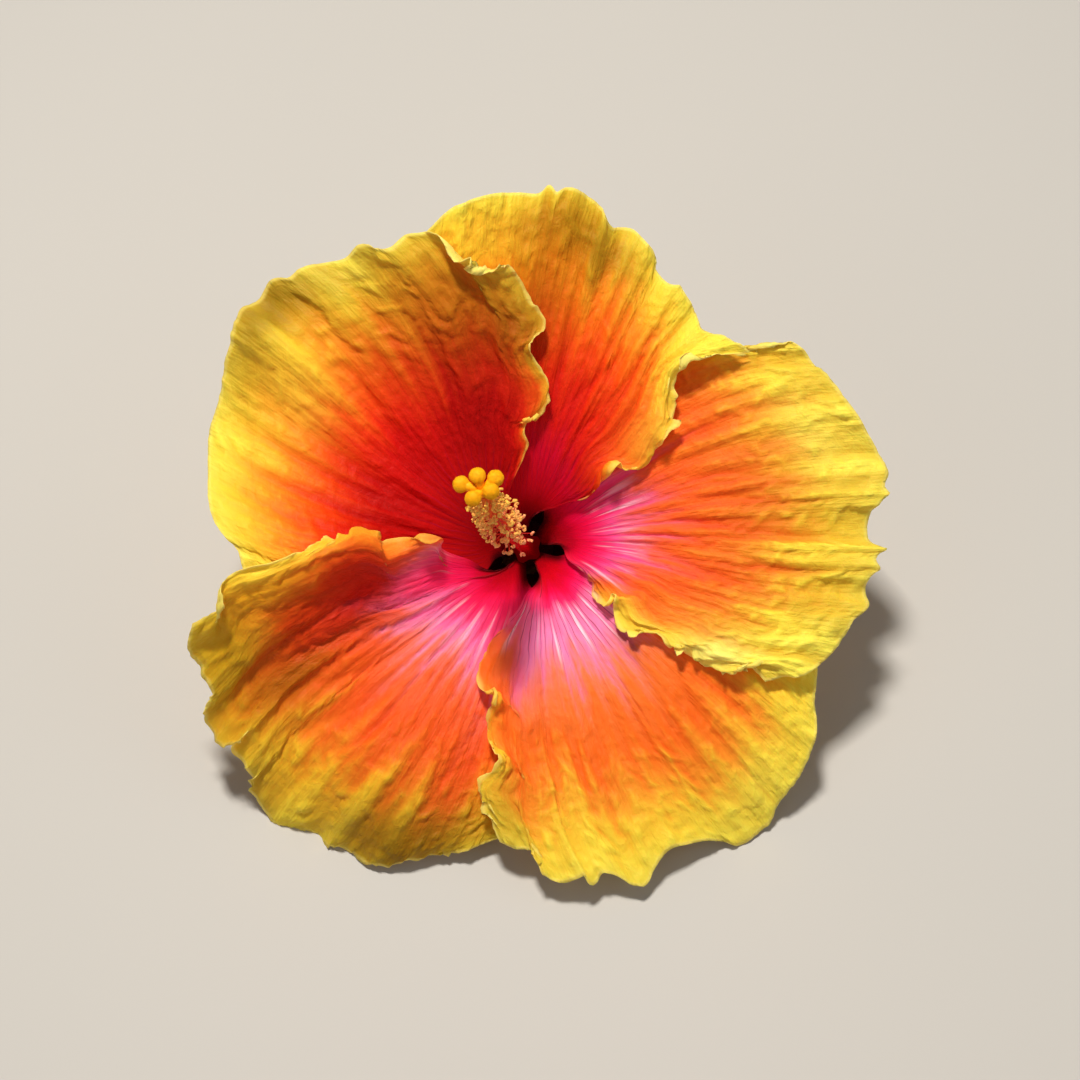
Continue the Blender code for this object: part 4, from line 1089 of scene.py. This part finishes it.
stamens = {
    "count": 210,
    "lowest": 0.6, "highest": 0.985,
    "filament": 4.2, "filamentGirth": 0.13, "filamentSides": 7,
    "filamentBend": (0.55, 0.0, 0.0), "filamentEnd": (1.0, 0.0, 0.2),   # for a filament of length 1
    "antherBend": 0.36, "antherGirth": 0.29, "antherStart": 55, "antherTurn": 250, "antherSides": 7,
    "pollen": 0.085, "pollenDensity": 4.5,
    "seed": 11,
    "threadSkin": {
        "tones": [(0.0, "#c81c1c"), (0.3, "#d8503a"), (0.6, "#dc9048"), (1.0, "#e8b858")],
        "follows": {"rank": 1.0}, "roughness": 0.45, "bump": 0.02,
    },
    "headSkin": {
        "tones": [(0.0, "#f29a70"), (0.25, "#f4b05c"), (0.6, "#f6b850"), (1.0, "#f8c648")],
        # the glow is painted light in the first tone, warming the heads in their shade
        "follows": {"rank": 1.0}, "roughness": 0.6, "bump": 0.04, "fineness": 1500.0, "paintedGlow": 0.05,
    },
}

stigma = {
    "pads": [(-12.4, 12.7, 76.2), (-9.2, 14.4, 76.8), (-5.6, 13.9, 76.2), (-10.0, 9.9, 77.2),
             (-6.5, 11.3, 77.6)],
    "padRadius": 1.62, "padHeight": 0.84, "padLumps": 0.07,
    "branchGirth": 0.95, "branchStations": 14, "styleGirth": 0.45, "styleEnd": 1.2, "styleSides": 16,
    "hairs": 38.0, "hairLength": 0.14, "hairGirth": 0.06,
    "seed": 9,
    "styleSkin": {
        "tones": [(0.0, "#e88610"), (0.5, "#ffb010"), (1.0, "#ffc01c")],
        "follows": {"along": 1.0}, "roughness": 0.42,
    },
    "padSkin": {
        "tones": [(0.0, "#ffa606"), (0.5, "#ffba10"), (1.0, "#ffce28")],
        "follows": {}, "mottle": 500.0, "roughness": 0.6, "specular": 0.15, "fineness": 1400.0,
    },
}


def napFinish(name, tones, follows, mottle=None, roughness=0.5, specular=0.25, bump=0.05, fineness=900.0,
              paintedGlow=0.0):
    # a finish toned by what the surface carries, mottled, with a fine nap and a painted glow in its first
    # tone
    finish, tree, shader = newFinish(name, roughness, specular)
    place = objectPlace(tree)
    nap = useGroup(tree, velvetNap, Place=place, Fineness=fineness)
    tone = nap * 0.06
    for label, share in follows.items():
        tone = tone + attributeOf(tree, label) * share
    if mottle:
        tone = tone + noiseAt(tree, place, mottle) * 0.25 + 0.5
    feed(tree, shader.inputs["Base Color"], ramp(tree, tone, tones))
    feed(tree, shader.inputs["Roughness"], nap * 0.08 + roughness)
    bumped(tree, shader, nap, bump, 0.8)
    # painted glow in the first tone
    shader.inputs["Emission Color"].default_value = paint(tones[0][1])
    shader.inputs["Emission Strength"].default_value = paintedGlow
    return finish


def pathMesh(name, lines):
    # polylines of (x, y, z, girth) as one mesh that trees turn into tubes
    points, edges = [], []
    for line in lines:
        edges += [(len(points) + i, len(points) + i + 1) for i in range(len(line) - 1)]
        points += [tuple(point) for point in line]
    mesh = bpy.data.meshes.new(name + "Path")
    mesh.from_pydata([point[:3] for point in points], edges, [])
    girths = np.array([point[3] for point in points], np.float32)
    mesh.attributes.new("girth", "FLOAT", "POINT").data.foreach_set("value", girths)
    return mesh


def tubeTree(name, sides):
    # tubes along paths, with low ribs that run along them and lobes that widen the foot
    tree, given = newTree(name, [
        ("Sides", "Int", sides), ("Ribs", "Float", 5.0), ("Rib Height", "Float", 0.05),
        ("Lump Height", "Float", 0.05), ("Foot Lobes", "Float", 0.0), ("Material", "Material", None),
    ])
    place, ribs = positionOf(tree), given["Ribs"]
    turn = place.part("Y").calc("ARCTAN2", place.part("X"))
    path = get(tree, "GeometryNodeMeshToCurve", Mesh=given["Geometry"])
    path = store(tree, path, "along", result(put(tree, "GeometryNodeSplineParameter"), "Factor"))
    ring = store(tree, ringOf(tree, given["Sides"], 1.0), "rib", (turn * ribs).calc("COSINE"))
    tube = tubeOf(tree, path, ring, Scale=named(tree, "girth"))
    lumps = noiseAt(tree, place, 0.9)
    foot = place.part("Z").between(1.0, column["lobesEnd"], 1.0, 0.0)
    lobes = ((turn - math.radians(column["lobeAzimuth"])) * ribs).calc("COSINE") * foot
    height = named(tree, "rib") * given["Rib Height"] + lumps * given["Lump Height"]
    height = height + lobes * given["Foot Lobes"]
    closeTree(tree, moved(tree, tube, Offset=normalOf(tree) * height), given["Material"])
    return tree


def scatteredOn(tree, mesh, density, seed, **more):
    return put(tree, "GeometryNodeDistributePointsOnFaces", {"distribute_method": "RANDOM"}, Mesh=mesh,
               Density=density, Seed=seed, **more)


def antherOf(tree, given):
    # a bent lobe covered with pollen
    arc = get(tree, "GeometryNodeCurveArc", {"mode": "RADIUS"}, Resolution=8, Radius=given["Anther Bend"],
              Start_Angle=math.radians(stamens["antherStart"]),
              Sweep_Angle=math.radians(stamens["antherTurn"]))
    lobe = tubeOf(tree, arc, ringOf(tree, stamens["antherSides"], given["Anther Girth"]))
    grain = get(tree, "GeometryNodeMeshIcoSphere", Radius=given["Pollen Size"], Subdivisions=1)
    spots = scatteredOn(tree, lobe, given["Pollen Density"], given["Seed"])
    grains = copiesOn(tree, result(spots, "Points"), grain)
    return get(tree, "GeometryNodeRealizeInstances", Geometry=joined(tree, grains, lobe))


def filamentOf(tree, given):
    # a bent thread of length 1; copies are about 4.5 times longer, and their girth grows with them
    longer = 4.5
    bend = get(tree, "GeometryNodeCurveQuadraticBezier", Resolution=7, Start=(0.0, 0.0, 0.0),
               Middle=stamens["filamentBend"], End=stamens["filamentEnd"])
    return tubeOf(tree, bend, ringOf(tree, stamens["filamentSides"], given["Filament Girth"] / longer))


def stamenTree(name, heads):
    # a spiral of filaments round the column, or of the anthers on their ends
    tree, given = newTree(name, [
        ("Count", "Int", stamens["count"]), ("Lowest", "Float", stamens["lowest"]),
        ("Highest", "Float", stamens["highest"]), ("Filament Length", "Float", stamens["filament"]),
        ("Filament Girth", "Float", stamens["filamentGirth"]),
        ("Anther Bend", "Float", stamens["antherBend"]),
        ("Anther Girth", "Float", stamens["antherGirth"]), ("Pollen Size", "Float", stamens["pollen"]),
        ("Pollen Density", "Float", stamens["pollenDensity"]), ("Seed", "Int", stamens["seed"]),
        ("Material", "Material", None),
    ])
    seed = given["Seed"]
    path = get(tree, "GeometryNodeMeshToCurve", Mesh=given["Geometry"])
    points = get(tree, "GeometryNodePoints", Count=given["Count"])
    index = get(tree, "GeometryNodeInputIndex")
    rank = (index + 0.5) / given["Count"]
    share = given["Lowest"] + (given["Highest"] - given["Lowest"]) * rank
    spot = put(tree, "GeometryNodeSampleCurve",
               {"mode": "FACTOR", "data_type": "FLOAT", "use_all_curves": True},
               Curves=path, Value=named(tree, "girth"), Factor=share)
    way = result(spot, "Tangent")
    side = way.calc("CROSS_PRODUCT", (0.0, 1.0, 0.0)).calc("NORMALIZE")
    front = way.calc("CROSS_PRODUCT", side)
    turn = index * goldenTurn + chance(tree, -0.35, 0.35, seed + 1)
    out = side * turn.calc("COSINE") + front * turn.calc("SINE")
    out = (out + way * (chance(tree, -0.35, 0.65, seed + 2) + rank * 0.5)).calc("NORMALIZE")
    foot = result(spot, "Position") + out * (result(spot, "Value") * 0.8)
    length = given["Filament Length"] * (chance(tree, 0.4, 1.08, seed + 3) - rank * 0.1)
    aim = get(tree, "FunctionNodeAxesToRotation", {"primary_axis": "X", "secondary_axis": "Z"},
              Primary_Axis=out, Secondary_Axis=way)
    if heads:
        tip = vectorOf(tree, *stamens["filamentEnd"]) * length
        foot = foot + get(tree, "FunctionNodeRotateVector", Vector=tip, Rotation=aim)
        shape = antherOf(tree, given)
        aim = chance(tree, (0.0, 0.0, 0.0), (6.28, 6.28, 6.28), seed + 5, "FLOAT_VECTOR")
        length = chance(tree, 0.85, 1.15, seed + 6)
    else:
        shape = filamentOf(tree, given)
    ranked = store(tree, moved(tree, points, Position=foot), "rank", rank)
    copies = copiesOn(tree, ranked, shape, Rotation=aim, Scale=length)
    closeTree(tree, copies, given["Material"])
    return tree


def bluntHair(tree, given):
    return get(tree, "GeometryNodeMeshCone", {"fill_type": "NGON"}, Vertices=4, Radius_Top=0.0,
               Radius_Bottom=given["Hair Girth"], Depth=given["Hair Length"])


def anyLean(tree, seed):
    # a small lean to any side and a turn that is all chance
    return chance(tree, (-0.5, -0.5, 0.0), (0.5, 0.5, 6.28), seed, "FLOAT_VECTOR")


def stigmaTree():
    # a velvety pad on each point: a flattened ball set with short blunt hairs
    tree, given = newTree("stigmaPads", [
        ("Pad Radius", "Float", stigma["padRadius"]), ("Hair Density", "Float", stigma["hairs"]),
        ("Hair Length", "Float", stigma["hairLength"]), ("Hair Girth", "Float", stigma["hairGirth"]),
        ("Seed", "Int", stigma["seed"]), ("Material", "Material", None),
    ])
    ball = get(tree, "GeometryNodeMeshIcoSphere", Radius=given["Pad Radius"], Subdivisions=4)
    place = positionOf(tree)
    lumpy = noiseAt(tree, place, 0.8, detail=1.0) * stigma["padLumps"]
    flattened = place * vectorOf(tree, 1.0, 1.0, stigma["padHeight"])
    pad = moved(tree, ball, Position=flattened, Offset=place * lumpy)
    seats = scatteredOn(tree, pad, given["Hair Density"], given["Seed"])
    hairs = copiesOn(tree, result(seats, "Points"), bluntHair(tree, given),
                     Rotation=result(seats, "Rotation"))
    shape = get(tree, "GeometryNodeRealizeInstances", Geometry=joined(tree, hairs, pad))
    copies = copiesOn(tree, given["Geometry"], shape, Rotation=anyLean(tree, given["Seed"]))
    closeTree(tree, copies, given["Material"])
    return tree


def makeColumn():
    line = smoothThrough(column["line"], column["stations"])
    path = np.column_stack([line, stepped(column["girth"], np.linspace(0, 1, len(line)))])
    pieces = [
        ("columnTube", "columnSkin", column["skin"], tubeTree("columnTube", column["sides"]),
         {"Ribs": float(column["ribs"]), "Rib Height": column["ribHeight"],
          "Foot Lobes": column["footLobes"]}),
        ("filaments", "filamentSkin", stamens["threadSkin"], stamenTree("filaments", False), {}),
        ("anthers", "pollenCoat", stamens["headSkin"], stamenTree("anthers", True), {}),
    ]
    for name, finish, skin, tree, sizes in pieces:
        piece = growMesh(name, pathMesh(name, [path]), tree, {**sizes, "Material": napFinish(finish, **skin)})
        settle(piece, "column", "staminal_column")


def makePistil():
    inside = 40   # the style's points up to here are hidden in the tube
    line = smoothThrough(column["line"], 60)
    way = (line[-1] - line[-2]) / np.linalg.norm(line[-1] - line[-2])
    fork = line[-1] + way * stigma["styleEnd"]
    runs = [[(*point, stigma["styleGirth"]) for point in [*line[inside:], fork]]]
    girths = stigma["branchGirth"] * np.linspace(0.8, 1.1, stigma["branchStations"])
    for pad in np.array(stigma["pads"]):
        knee = fork + (pad - fork) * 0.45 + way * 0.9
        run = smoothThrough([fork - way * 0.6, knee, pad], stigma["branchStations"])
        runs.append(np.column_stack([run, girths]))
    tubes = tubeTree("styleTubes", stigma["styleSides"])
    branches = growMesh("styleBranches", pathMesh("style", runs), tubes, {
        "Rib Height": 0.0, "Lump Height": 0.04, "Material": napFinish("styleSkin", **stigma["styleSkin"]),
    })
    settle(branches, "stigma", "pistil")
    seats = bpy.data.meshes.new("padSeats")
    seats.from_pydata(stigma["pads"], [], [])
    pads = growMesh("stigmaPads", seats, stigmaTree(), {
        "Material": napFinish("stigmaVelvet", **stigma["padSkin"]),
    })
    settle(pads, "stigma", "pistil")


# The calyx: a cup of five pointed lobes with three ribs each. Its section runs as radius and height.
calyx = {
    "section": [(6.2, 0.4), (7.2, 4), (8.4, 9), (10.1, 15), (12.6, 20.5), (15.6, 24.6), (18.2, 27.2)],
    "lobes": 5, "lobeAzimuth": 141, "notch": 0.56,
    "rows": 60, "columns": 260, "thickness": 0.55,
    "ribHeight": 0.38, "waviness": 0.35,
    "hairs": 1.6, "hairLength": 0.5, "hairGirth": 0.045,
    "seed": 3,
    "tones": [(0.0, "#7d9a3c"), (0.3, "#86a042"), (0.62, "#6f8c34"), (0.82, "#78803a"), (1.0, "#8c5438")],
    # painted shade: the inside of the cup is near black, as it lies in the dark
    "inside": "#3a0810",
}

# Narrow leaves that spread from the receptacle's side, outside the calyx.
bracteoles = {
    "count": 7, "length": 13.0, "width": 2.0, "thickness": 0.5, "spread": 42.0, "foot": (7.0, 0.0, -1.2),
    "rows": 40, "columns": 13,
    "hairs": 3.5, "hairLength": 0.4, "hairGirth": 0.04,
    "seed": 6,
    "tones": [(0.0, "#6f8c34"), (0.5, "#789438"), (0.85, "#7f8a3c"), (1.0, "#96603c")],
    "inside": "#67822f",
}

stalk = {
    "line": [(0, 5.2, -12), (0, 3.6, -9.5), (0, 2.6, -8), (0, 1.9, -6.8), (0, 0.8, -4.4), (0, 0, -1.6),
             (0, 0, 0)],
    "girths": [1.55, 1.65, 2.25, 1.8, 2.6, 6.2, 6.8],
    "stations": 120, "sides": 72, "ribs": 9, "ribHeight": 0.07, "lumps": 0.06,
    "tones": [(0.0, "#6a4a2c"), (0.2, "#7c8a3c"), (0.55, "#86a044"), (0.9, "#7d9a3c"), (0.97, "#7a8a3c"),
              (1.0, "#4a1018")],
    "spots": "#b8b27c",
    # the cut end, from its middle outwards
    "cutTones": [(0.0, "#e8e0bc"), (0.3, "#efe6c4"), (0.36, "#b8c07c"), (0.75, "#c8c890"), (0.85, "#8c9a50"),
                 (1.0, "#5c6a2c")],
    "cutRadius": 1.0 / 620.0,   # in metres
}


def leafInputs(sizes):
    # what the calyx and the bracteoles have in common
    return [
        ("Rows", "Int", sizes["rows"]), ("Columns", "Int", sizes["columns"]),
        ("Thickness", "Float", sizes["thickness"]), ("Hair Density", "Float", sizes["hairs"]),
        ("Hair Length", "Float", sizes["hairLength"]), ("Hair Girth", "Float", sizes["hairGirth"]),
        ("Seed", "Int", sizes["seed"]), ("Material", "Material", None),
    ]


def hairyLeaf(tree, given, sheet):
    # the sheet with its back, and short stiff hairs that stand on its outside
    seed = given["Seed"]
    leaf = doubled(tree, sheet, given["Thickness"])
    outside = named(tree, "outer").calc("GREATER_THAN", 0.5)
    seats = scatteredOn(tree, leaf, given["Hair Density"], seed, Selection=outside)
    tilt = get(tree, "FunctionNodeEulerToRotation", Euler=anyLean(tree, seed))
    turned = get(tree, "FunctionNodeRotateRotation", {"rotation_space": "LOCAL"},
                 Rotation=result(seats, "Rotation"), Rotate_By=tilt)
    hairs = copiesOn(tree, result(seats, "Points"), bluntHair(tree, given), Rotation=turned,
                     Scale=chance(tree, 0.5, 1.2, seed))
    return joined(tree, hairs, leaf)


def calyxTree():
    tree, given = newTree("calyxCup", leafInputs(calyx) + [
        ("Lobes", "Float", float(calyx["lobes"])), ("Notch", "Float", calyx["notch"]),
        ("Lobe Azimuth", "Float", math.radians(calyx["lobeAzimuth"])),
        ("Rib Height", "Float", calyx["ribHeight"]), ("Waviness", "Float", calyx["waviness"]),
    ])
    sheet, across, along = evenGrid(tree, given)
    azimuth = across * fullTurn
    outward, sideways = azimuth.calc("COSINE"), azimuth.calc("SINE")
    swing = (azimuth - given["Lobe Azimuth"]) * given["Lobes"] * 0.5
    lobe = swing.calc("COSINE").calc("ABSOLUTE")
    top = given["Notch"] + (1 - given["Notch"]) * lobe ** 0.8
    path = get(tree, "GeometryNodeMeshToCurve", Mesh=given["Geometry"])
    spot = put(tree, "GeometryNodeSampleCurve", {"mode": "FACTOR", "use_all_curves": True}, Curves=path,
               Factor=along * top)
    place, way = result(spot, "Position"), result(spot, "Tangent")
    ribs = (swing * 3).calc("COSINE").calc("ABSOLUTE") ** 14
    seam = swing.calc("SINE").calc("ABSOLUTE") ** 40
    wavy = noiseAt(tree, vectorOf(tree, outward * 1.6, sideways * 1.6, along * 2))
    out = ribs * given["Rib Height"] - seam * given["Rib Height"] + wavy * given["Waviness"] * along
    out = out + along.between(0.8, 1.0) * lobe ** 6 * 0.7
    radius = place.part("X") + out * way.part("Y")
    height = place.part("Y") - out * way.part("X")
    sheet = fanned(tree, sheet, across, along)
    sheet = moved(tree, sheet, Position=vectorOf(tree, radius * outward, radius * sideways, height))
    closed = get(tree, "GeometryNodeMergeByDistance", Geometry=sheet, Distance=2 * weldGap)
    closeTree(tree, hairyLeaf(tree, given, closed), given["Material"])
    return tree


def bracteoleTree():
    tree, given = newTree("bracteoleWhorl", leafInputs(bracteoles) + [
        ("Count", "Int", bracteoles["count"]), ("Length", "Float", bracteoles["length"]),
        ("Width", "Float", bracteoles["width"]), ("Spread", "Float", math.radians(bracteoles["spread"])),
        ("Foot", "Vector", bracteoles["foot"]),
    ])
    sheet, across, along = evenGrid(tree, given)
    side = (across - 0.5) * 2
    spread = given["Spread"] * (1.35 - along * 0.7)
    width = given["Width"] * 0.5 * (0.55 + along * 1.4) * (1 - along).calc("MAXIMUM", 0.0) ** 0.7 + 0.15
    groove = side * side * 0.35 + side * side * side * side * 0.25 - 0.1
    reach = given["Length"] * along
    place = vectorOf(tree, spread.calc("SINE") * reach - groove * spread.calc("COSINE"), side * width,
                     spread.calc("COSINE") * reach + groove * spread.calc("SINE"))
    sheet = fanned(tree, sheet, across, along)
    shaped = moved(tree, sheet, Position=place + given["Foot"])
    turned = get(tree, "GeometryNodeFlipFaces", Mesh=shaped)
    leaf = get(tree, "GeometryNodeRealizeInstances", Geometry=hairyLeaf(tree, given, turned))
    points = get(tree, "GeometryNodePoints", Count=given["Count"])
    azimuth = get(tree, "GeometryNodeInputIndex") * fullTurn / given["Count"]
    turn = vectorOf(tree, 0.0, chance(tree, -0.03, 0.03, given["Seed"]), azimuth)
    closeTree(tree, copiesOn(tree, points, leaf, Rotation=turn), given["Material"])
    return tree


def greenFinish(name, look, seed):
    # a leafy skin that is mottled and redder at its edge, with its own colour inside, which for the calyx is
    # painted shade
    finish, tree, shader = newFinish(name, 0.5)
    place, fan = objectPlace(tree), fanOf(tree)
    nap = useGroup(tree, velvetNap, Place=place, Fineness=1100.0)
    cloud = noiseAt(tree, place, 260.0, detail=3.0)
    veins = noiseAt(tree, vectorOf(tree, fan.part("X") * 190, fan.part("Y") * 16, seed))
    tone = fan.part("Y") + cloud * 0.12 + veins * 0.05 + nap * 0.05
    colour = ramp(tree, tone, look["tones"])
    colour = blendTo(tree, attributeOf(tree, "outer"), paint(look["inside"]), colour)
    feed(tree, shader.inputs["Base Color"], colour)
    feed(tree, shader.inputs["Roughness"], nap * 0.08 + 0.5)
    bumped(tree, shader, nap * 0.4 + veins * 0.6, 0.12, 0.9)
    return finish


def makeSepals():
    section = [(radius, height, 0, 1) for radius, height in smoothThrough(calyx["section"], 80)]
    cup = growMesh("calyxCup", pathMesh("calyx", [section]), calyxTree(), {
        "Material": greenFinish("calyxSkin", calyx, 2.0),
    })
    settle(cup, "sepal", "calyx")
    whorl = growMesh("bracteoleWhorl", bpy.data.meshes.new("bracteoleSeat"), bracteoleTree(), {
        "Material": greenFinish("bracteoleSkin", bracteoles, 8.0),
    })
    settle(whorl, "sepal", *[f"bracteole_{number + 1}" for number in range(bracteoles["count"])])


def makeCutEnd():
    # how far out on a cut stem a place is, and whether it is on the cut, 1 on it
    tree, given, leave = shaderGroup("cutEnd", [
        ("Place", "Vector", None), ("Centre", "Vector", None), ("Way", "Vector", None),
    ], ["Ring", "Cut"])
    away = given["Place"] - given["Centre"]
    depth = away.calc("DOT_PRODUCT", given["Way"])
    feed(tree, leave.inputs["Ring"], away.calc("LENGTH") * (1 / stalk["cutRadius"]))
    feed(tree, leave.inputs["Cut"], depth.between(0.02 * mm, 0.06 * mm, 1.0, 0.0))
    return tree


def stalkFinish():
    finish, tree, shader = newFinish("stalkSkin", 0.48)
    place = objectPlace(tree)
    along, rib = attributeOf(tree, "along"), attributeOf(tree, "rib")
    nap = useGroup(tree, velvetNap, Place=place, Fineness=1100.0)
    spots = noiseAt(tree, place, 1500.0, detail=1.0).between(0.55, 0.75)
    colour = ramp(tree, along + nap * 0.03 + rib * 0.03, stalk["tones"])
    colour = blendTo(tree, spots * 0.6, colour, paint(stalk["spots"]))
    end, above = (Vector(point) for point in stalk["line"][:2])
    cut = putGroup(tree, makeCutEnd(), Place=place, Centre=laidDown @ end,
                   Way=(laidDown.to_3x3() @ (above - end)).normalized())
    rings = ramp(tree, Field(cut.outputs["Ring"]), stalk["cutTones"])
    colour = blendTo(tree, Field(cut.outputs["Cut"]), colour, rings)
    feed(tree, shader.inputs["Base Color"], colour)
    feed(tree, shader.inputs["Roughness"], nap * 0.1 + 0.5)
    bumped(tree, shader, nap + spots * 0.5, 0.1, 0.8)
    return finish


def makeStalk():
    line = [(*point, girth) for point, girth in zip(stalk["line"], stalk["girths"])]
    path = smoothThrough(line, stalk["stations"])
    piece = growMesh("flowerStalk", pathMesh("stalk", [path]), tubeTree("stalkTube", stalk["sides"]), {
        "Ribs": float(stalk["ribs"]), "Rib Height": stalk["ribHeight"], "Lump Height": stalk["lumps"],
        "Material": stalkFinish(),
    })
    settle(piece, "stalk", "flower_stalk")


makeColumn()
makePistil()
print("column, stamens and stigma made")
makeSepals()
makeStalk()
print("calyx, bracteoles and stalk made")


studio = {
    "floor": "#bfbdb9", "floorLight": "#c3c1bd", "floorSize": 3.0,
    # each light: place about the flower and size in metres, power in watts, colour
    "key": ((-0.099, 0.155, 0.958), 0.13, 10.3, "#fff8ee"),
    "fill": ((-0.9, -0.9, 0.8), 1.0, 2.0, "#fff4e6"),
    "rim": ((0.9, -0.2, 0.6), 0.8, 1.2, "#fffaf2"),
    "sky": 0.16, "skyColour": (1, 0.985, 0.96, 1),
}

view = {"place": (3.2, 1.7, 538), "lens": 77.8}   # about the flower's own axis, in millimetres


def makeStudio():
    mesh = bpy.data.meshes.new("studioFloor")
    half = studio["floorSize"] / 2
    corners = [(-half, -half, 0), (half, -half, 0), (half, half, 0), (-half, half, 0)]
    mesh.from_pydata(corners, [], [(0, 1, 2, 3)])
    floor = bpy.data.objects.new("studioFloor", mesh)
    bpy.context.scene.collection.objects.link(floor)
    finish, tree, shader = newFinish("studioFloor", 0.8)
    clouds = noiseAt(tree, objectPlace(tree), 3.0).between(-1, 1)
    colour = blendTo(tree, clouds, paint(studio["floor"]), paint(studio["floorLight"]))
    feed(tree, shader.inputs["Base Color"], colour)
    mesh.materials.append(finish)
    for name in ("key", "fill", "rim"):
        place, size, power, tint = studio[name]
        lamp = bpy.data.lights.new(name + "Light", "AREA")
        lamp.size, lamp.energy, lamp.color = size, power, paint(tint)[:3]
        light = bpy.data.objects.new(name + "Light", lamp)
        light.location = place
        light.rotation_euler = (-Vector(place)).to_track_quat("-Z", "Y").to_euler()
        bpy.context.scene.collection.objects.link(light)
    world = bpy.data.worlds.new("studio")
    world.use_nodes = True
    backdrop = world.node_tree.nodes["Background"]
    backdrop.inputs["Color"].default_value = studio["skyColour"]
    backdrop.inputs["Strength"].default_value = studio["sky"]
    bpy.context.scene.world = world
    bpy.context.scene.view_settings.view_transform = "Standard"


def makeCamera():
    lens = bpy.data.cameras.new("camera")
    lens.lens = view["lens"]
    lens.clip_start, lens.clip_end = 0.01, 20
    camera = bpy.data.objects.new("camera", lens)
    camera.location = laidDown @ Vector(view["place"])
    camera.rotation_euler.x = lean
    bpy.context.scene.collection.objects.link(camera)
    bpy.context.scene.camera = camera


makeStudio()
makeCamera()
print("studio and camera set")
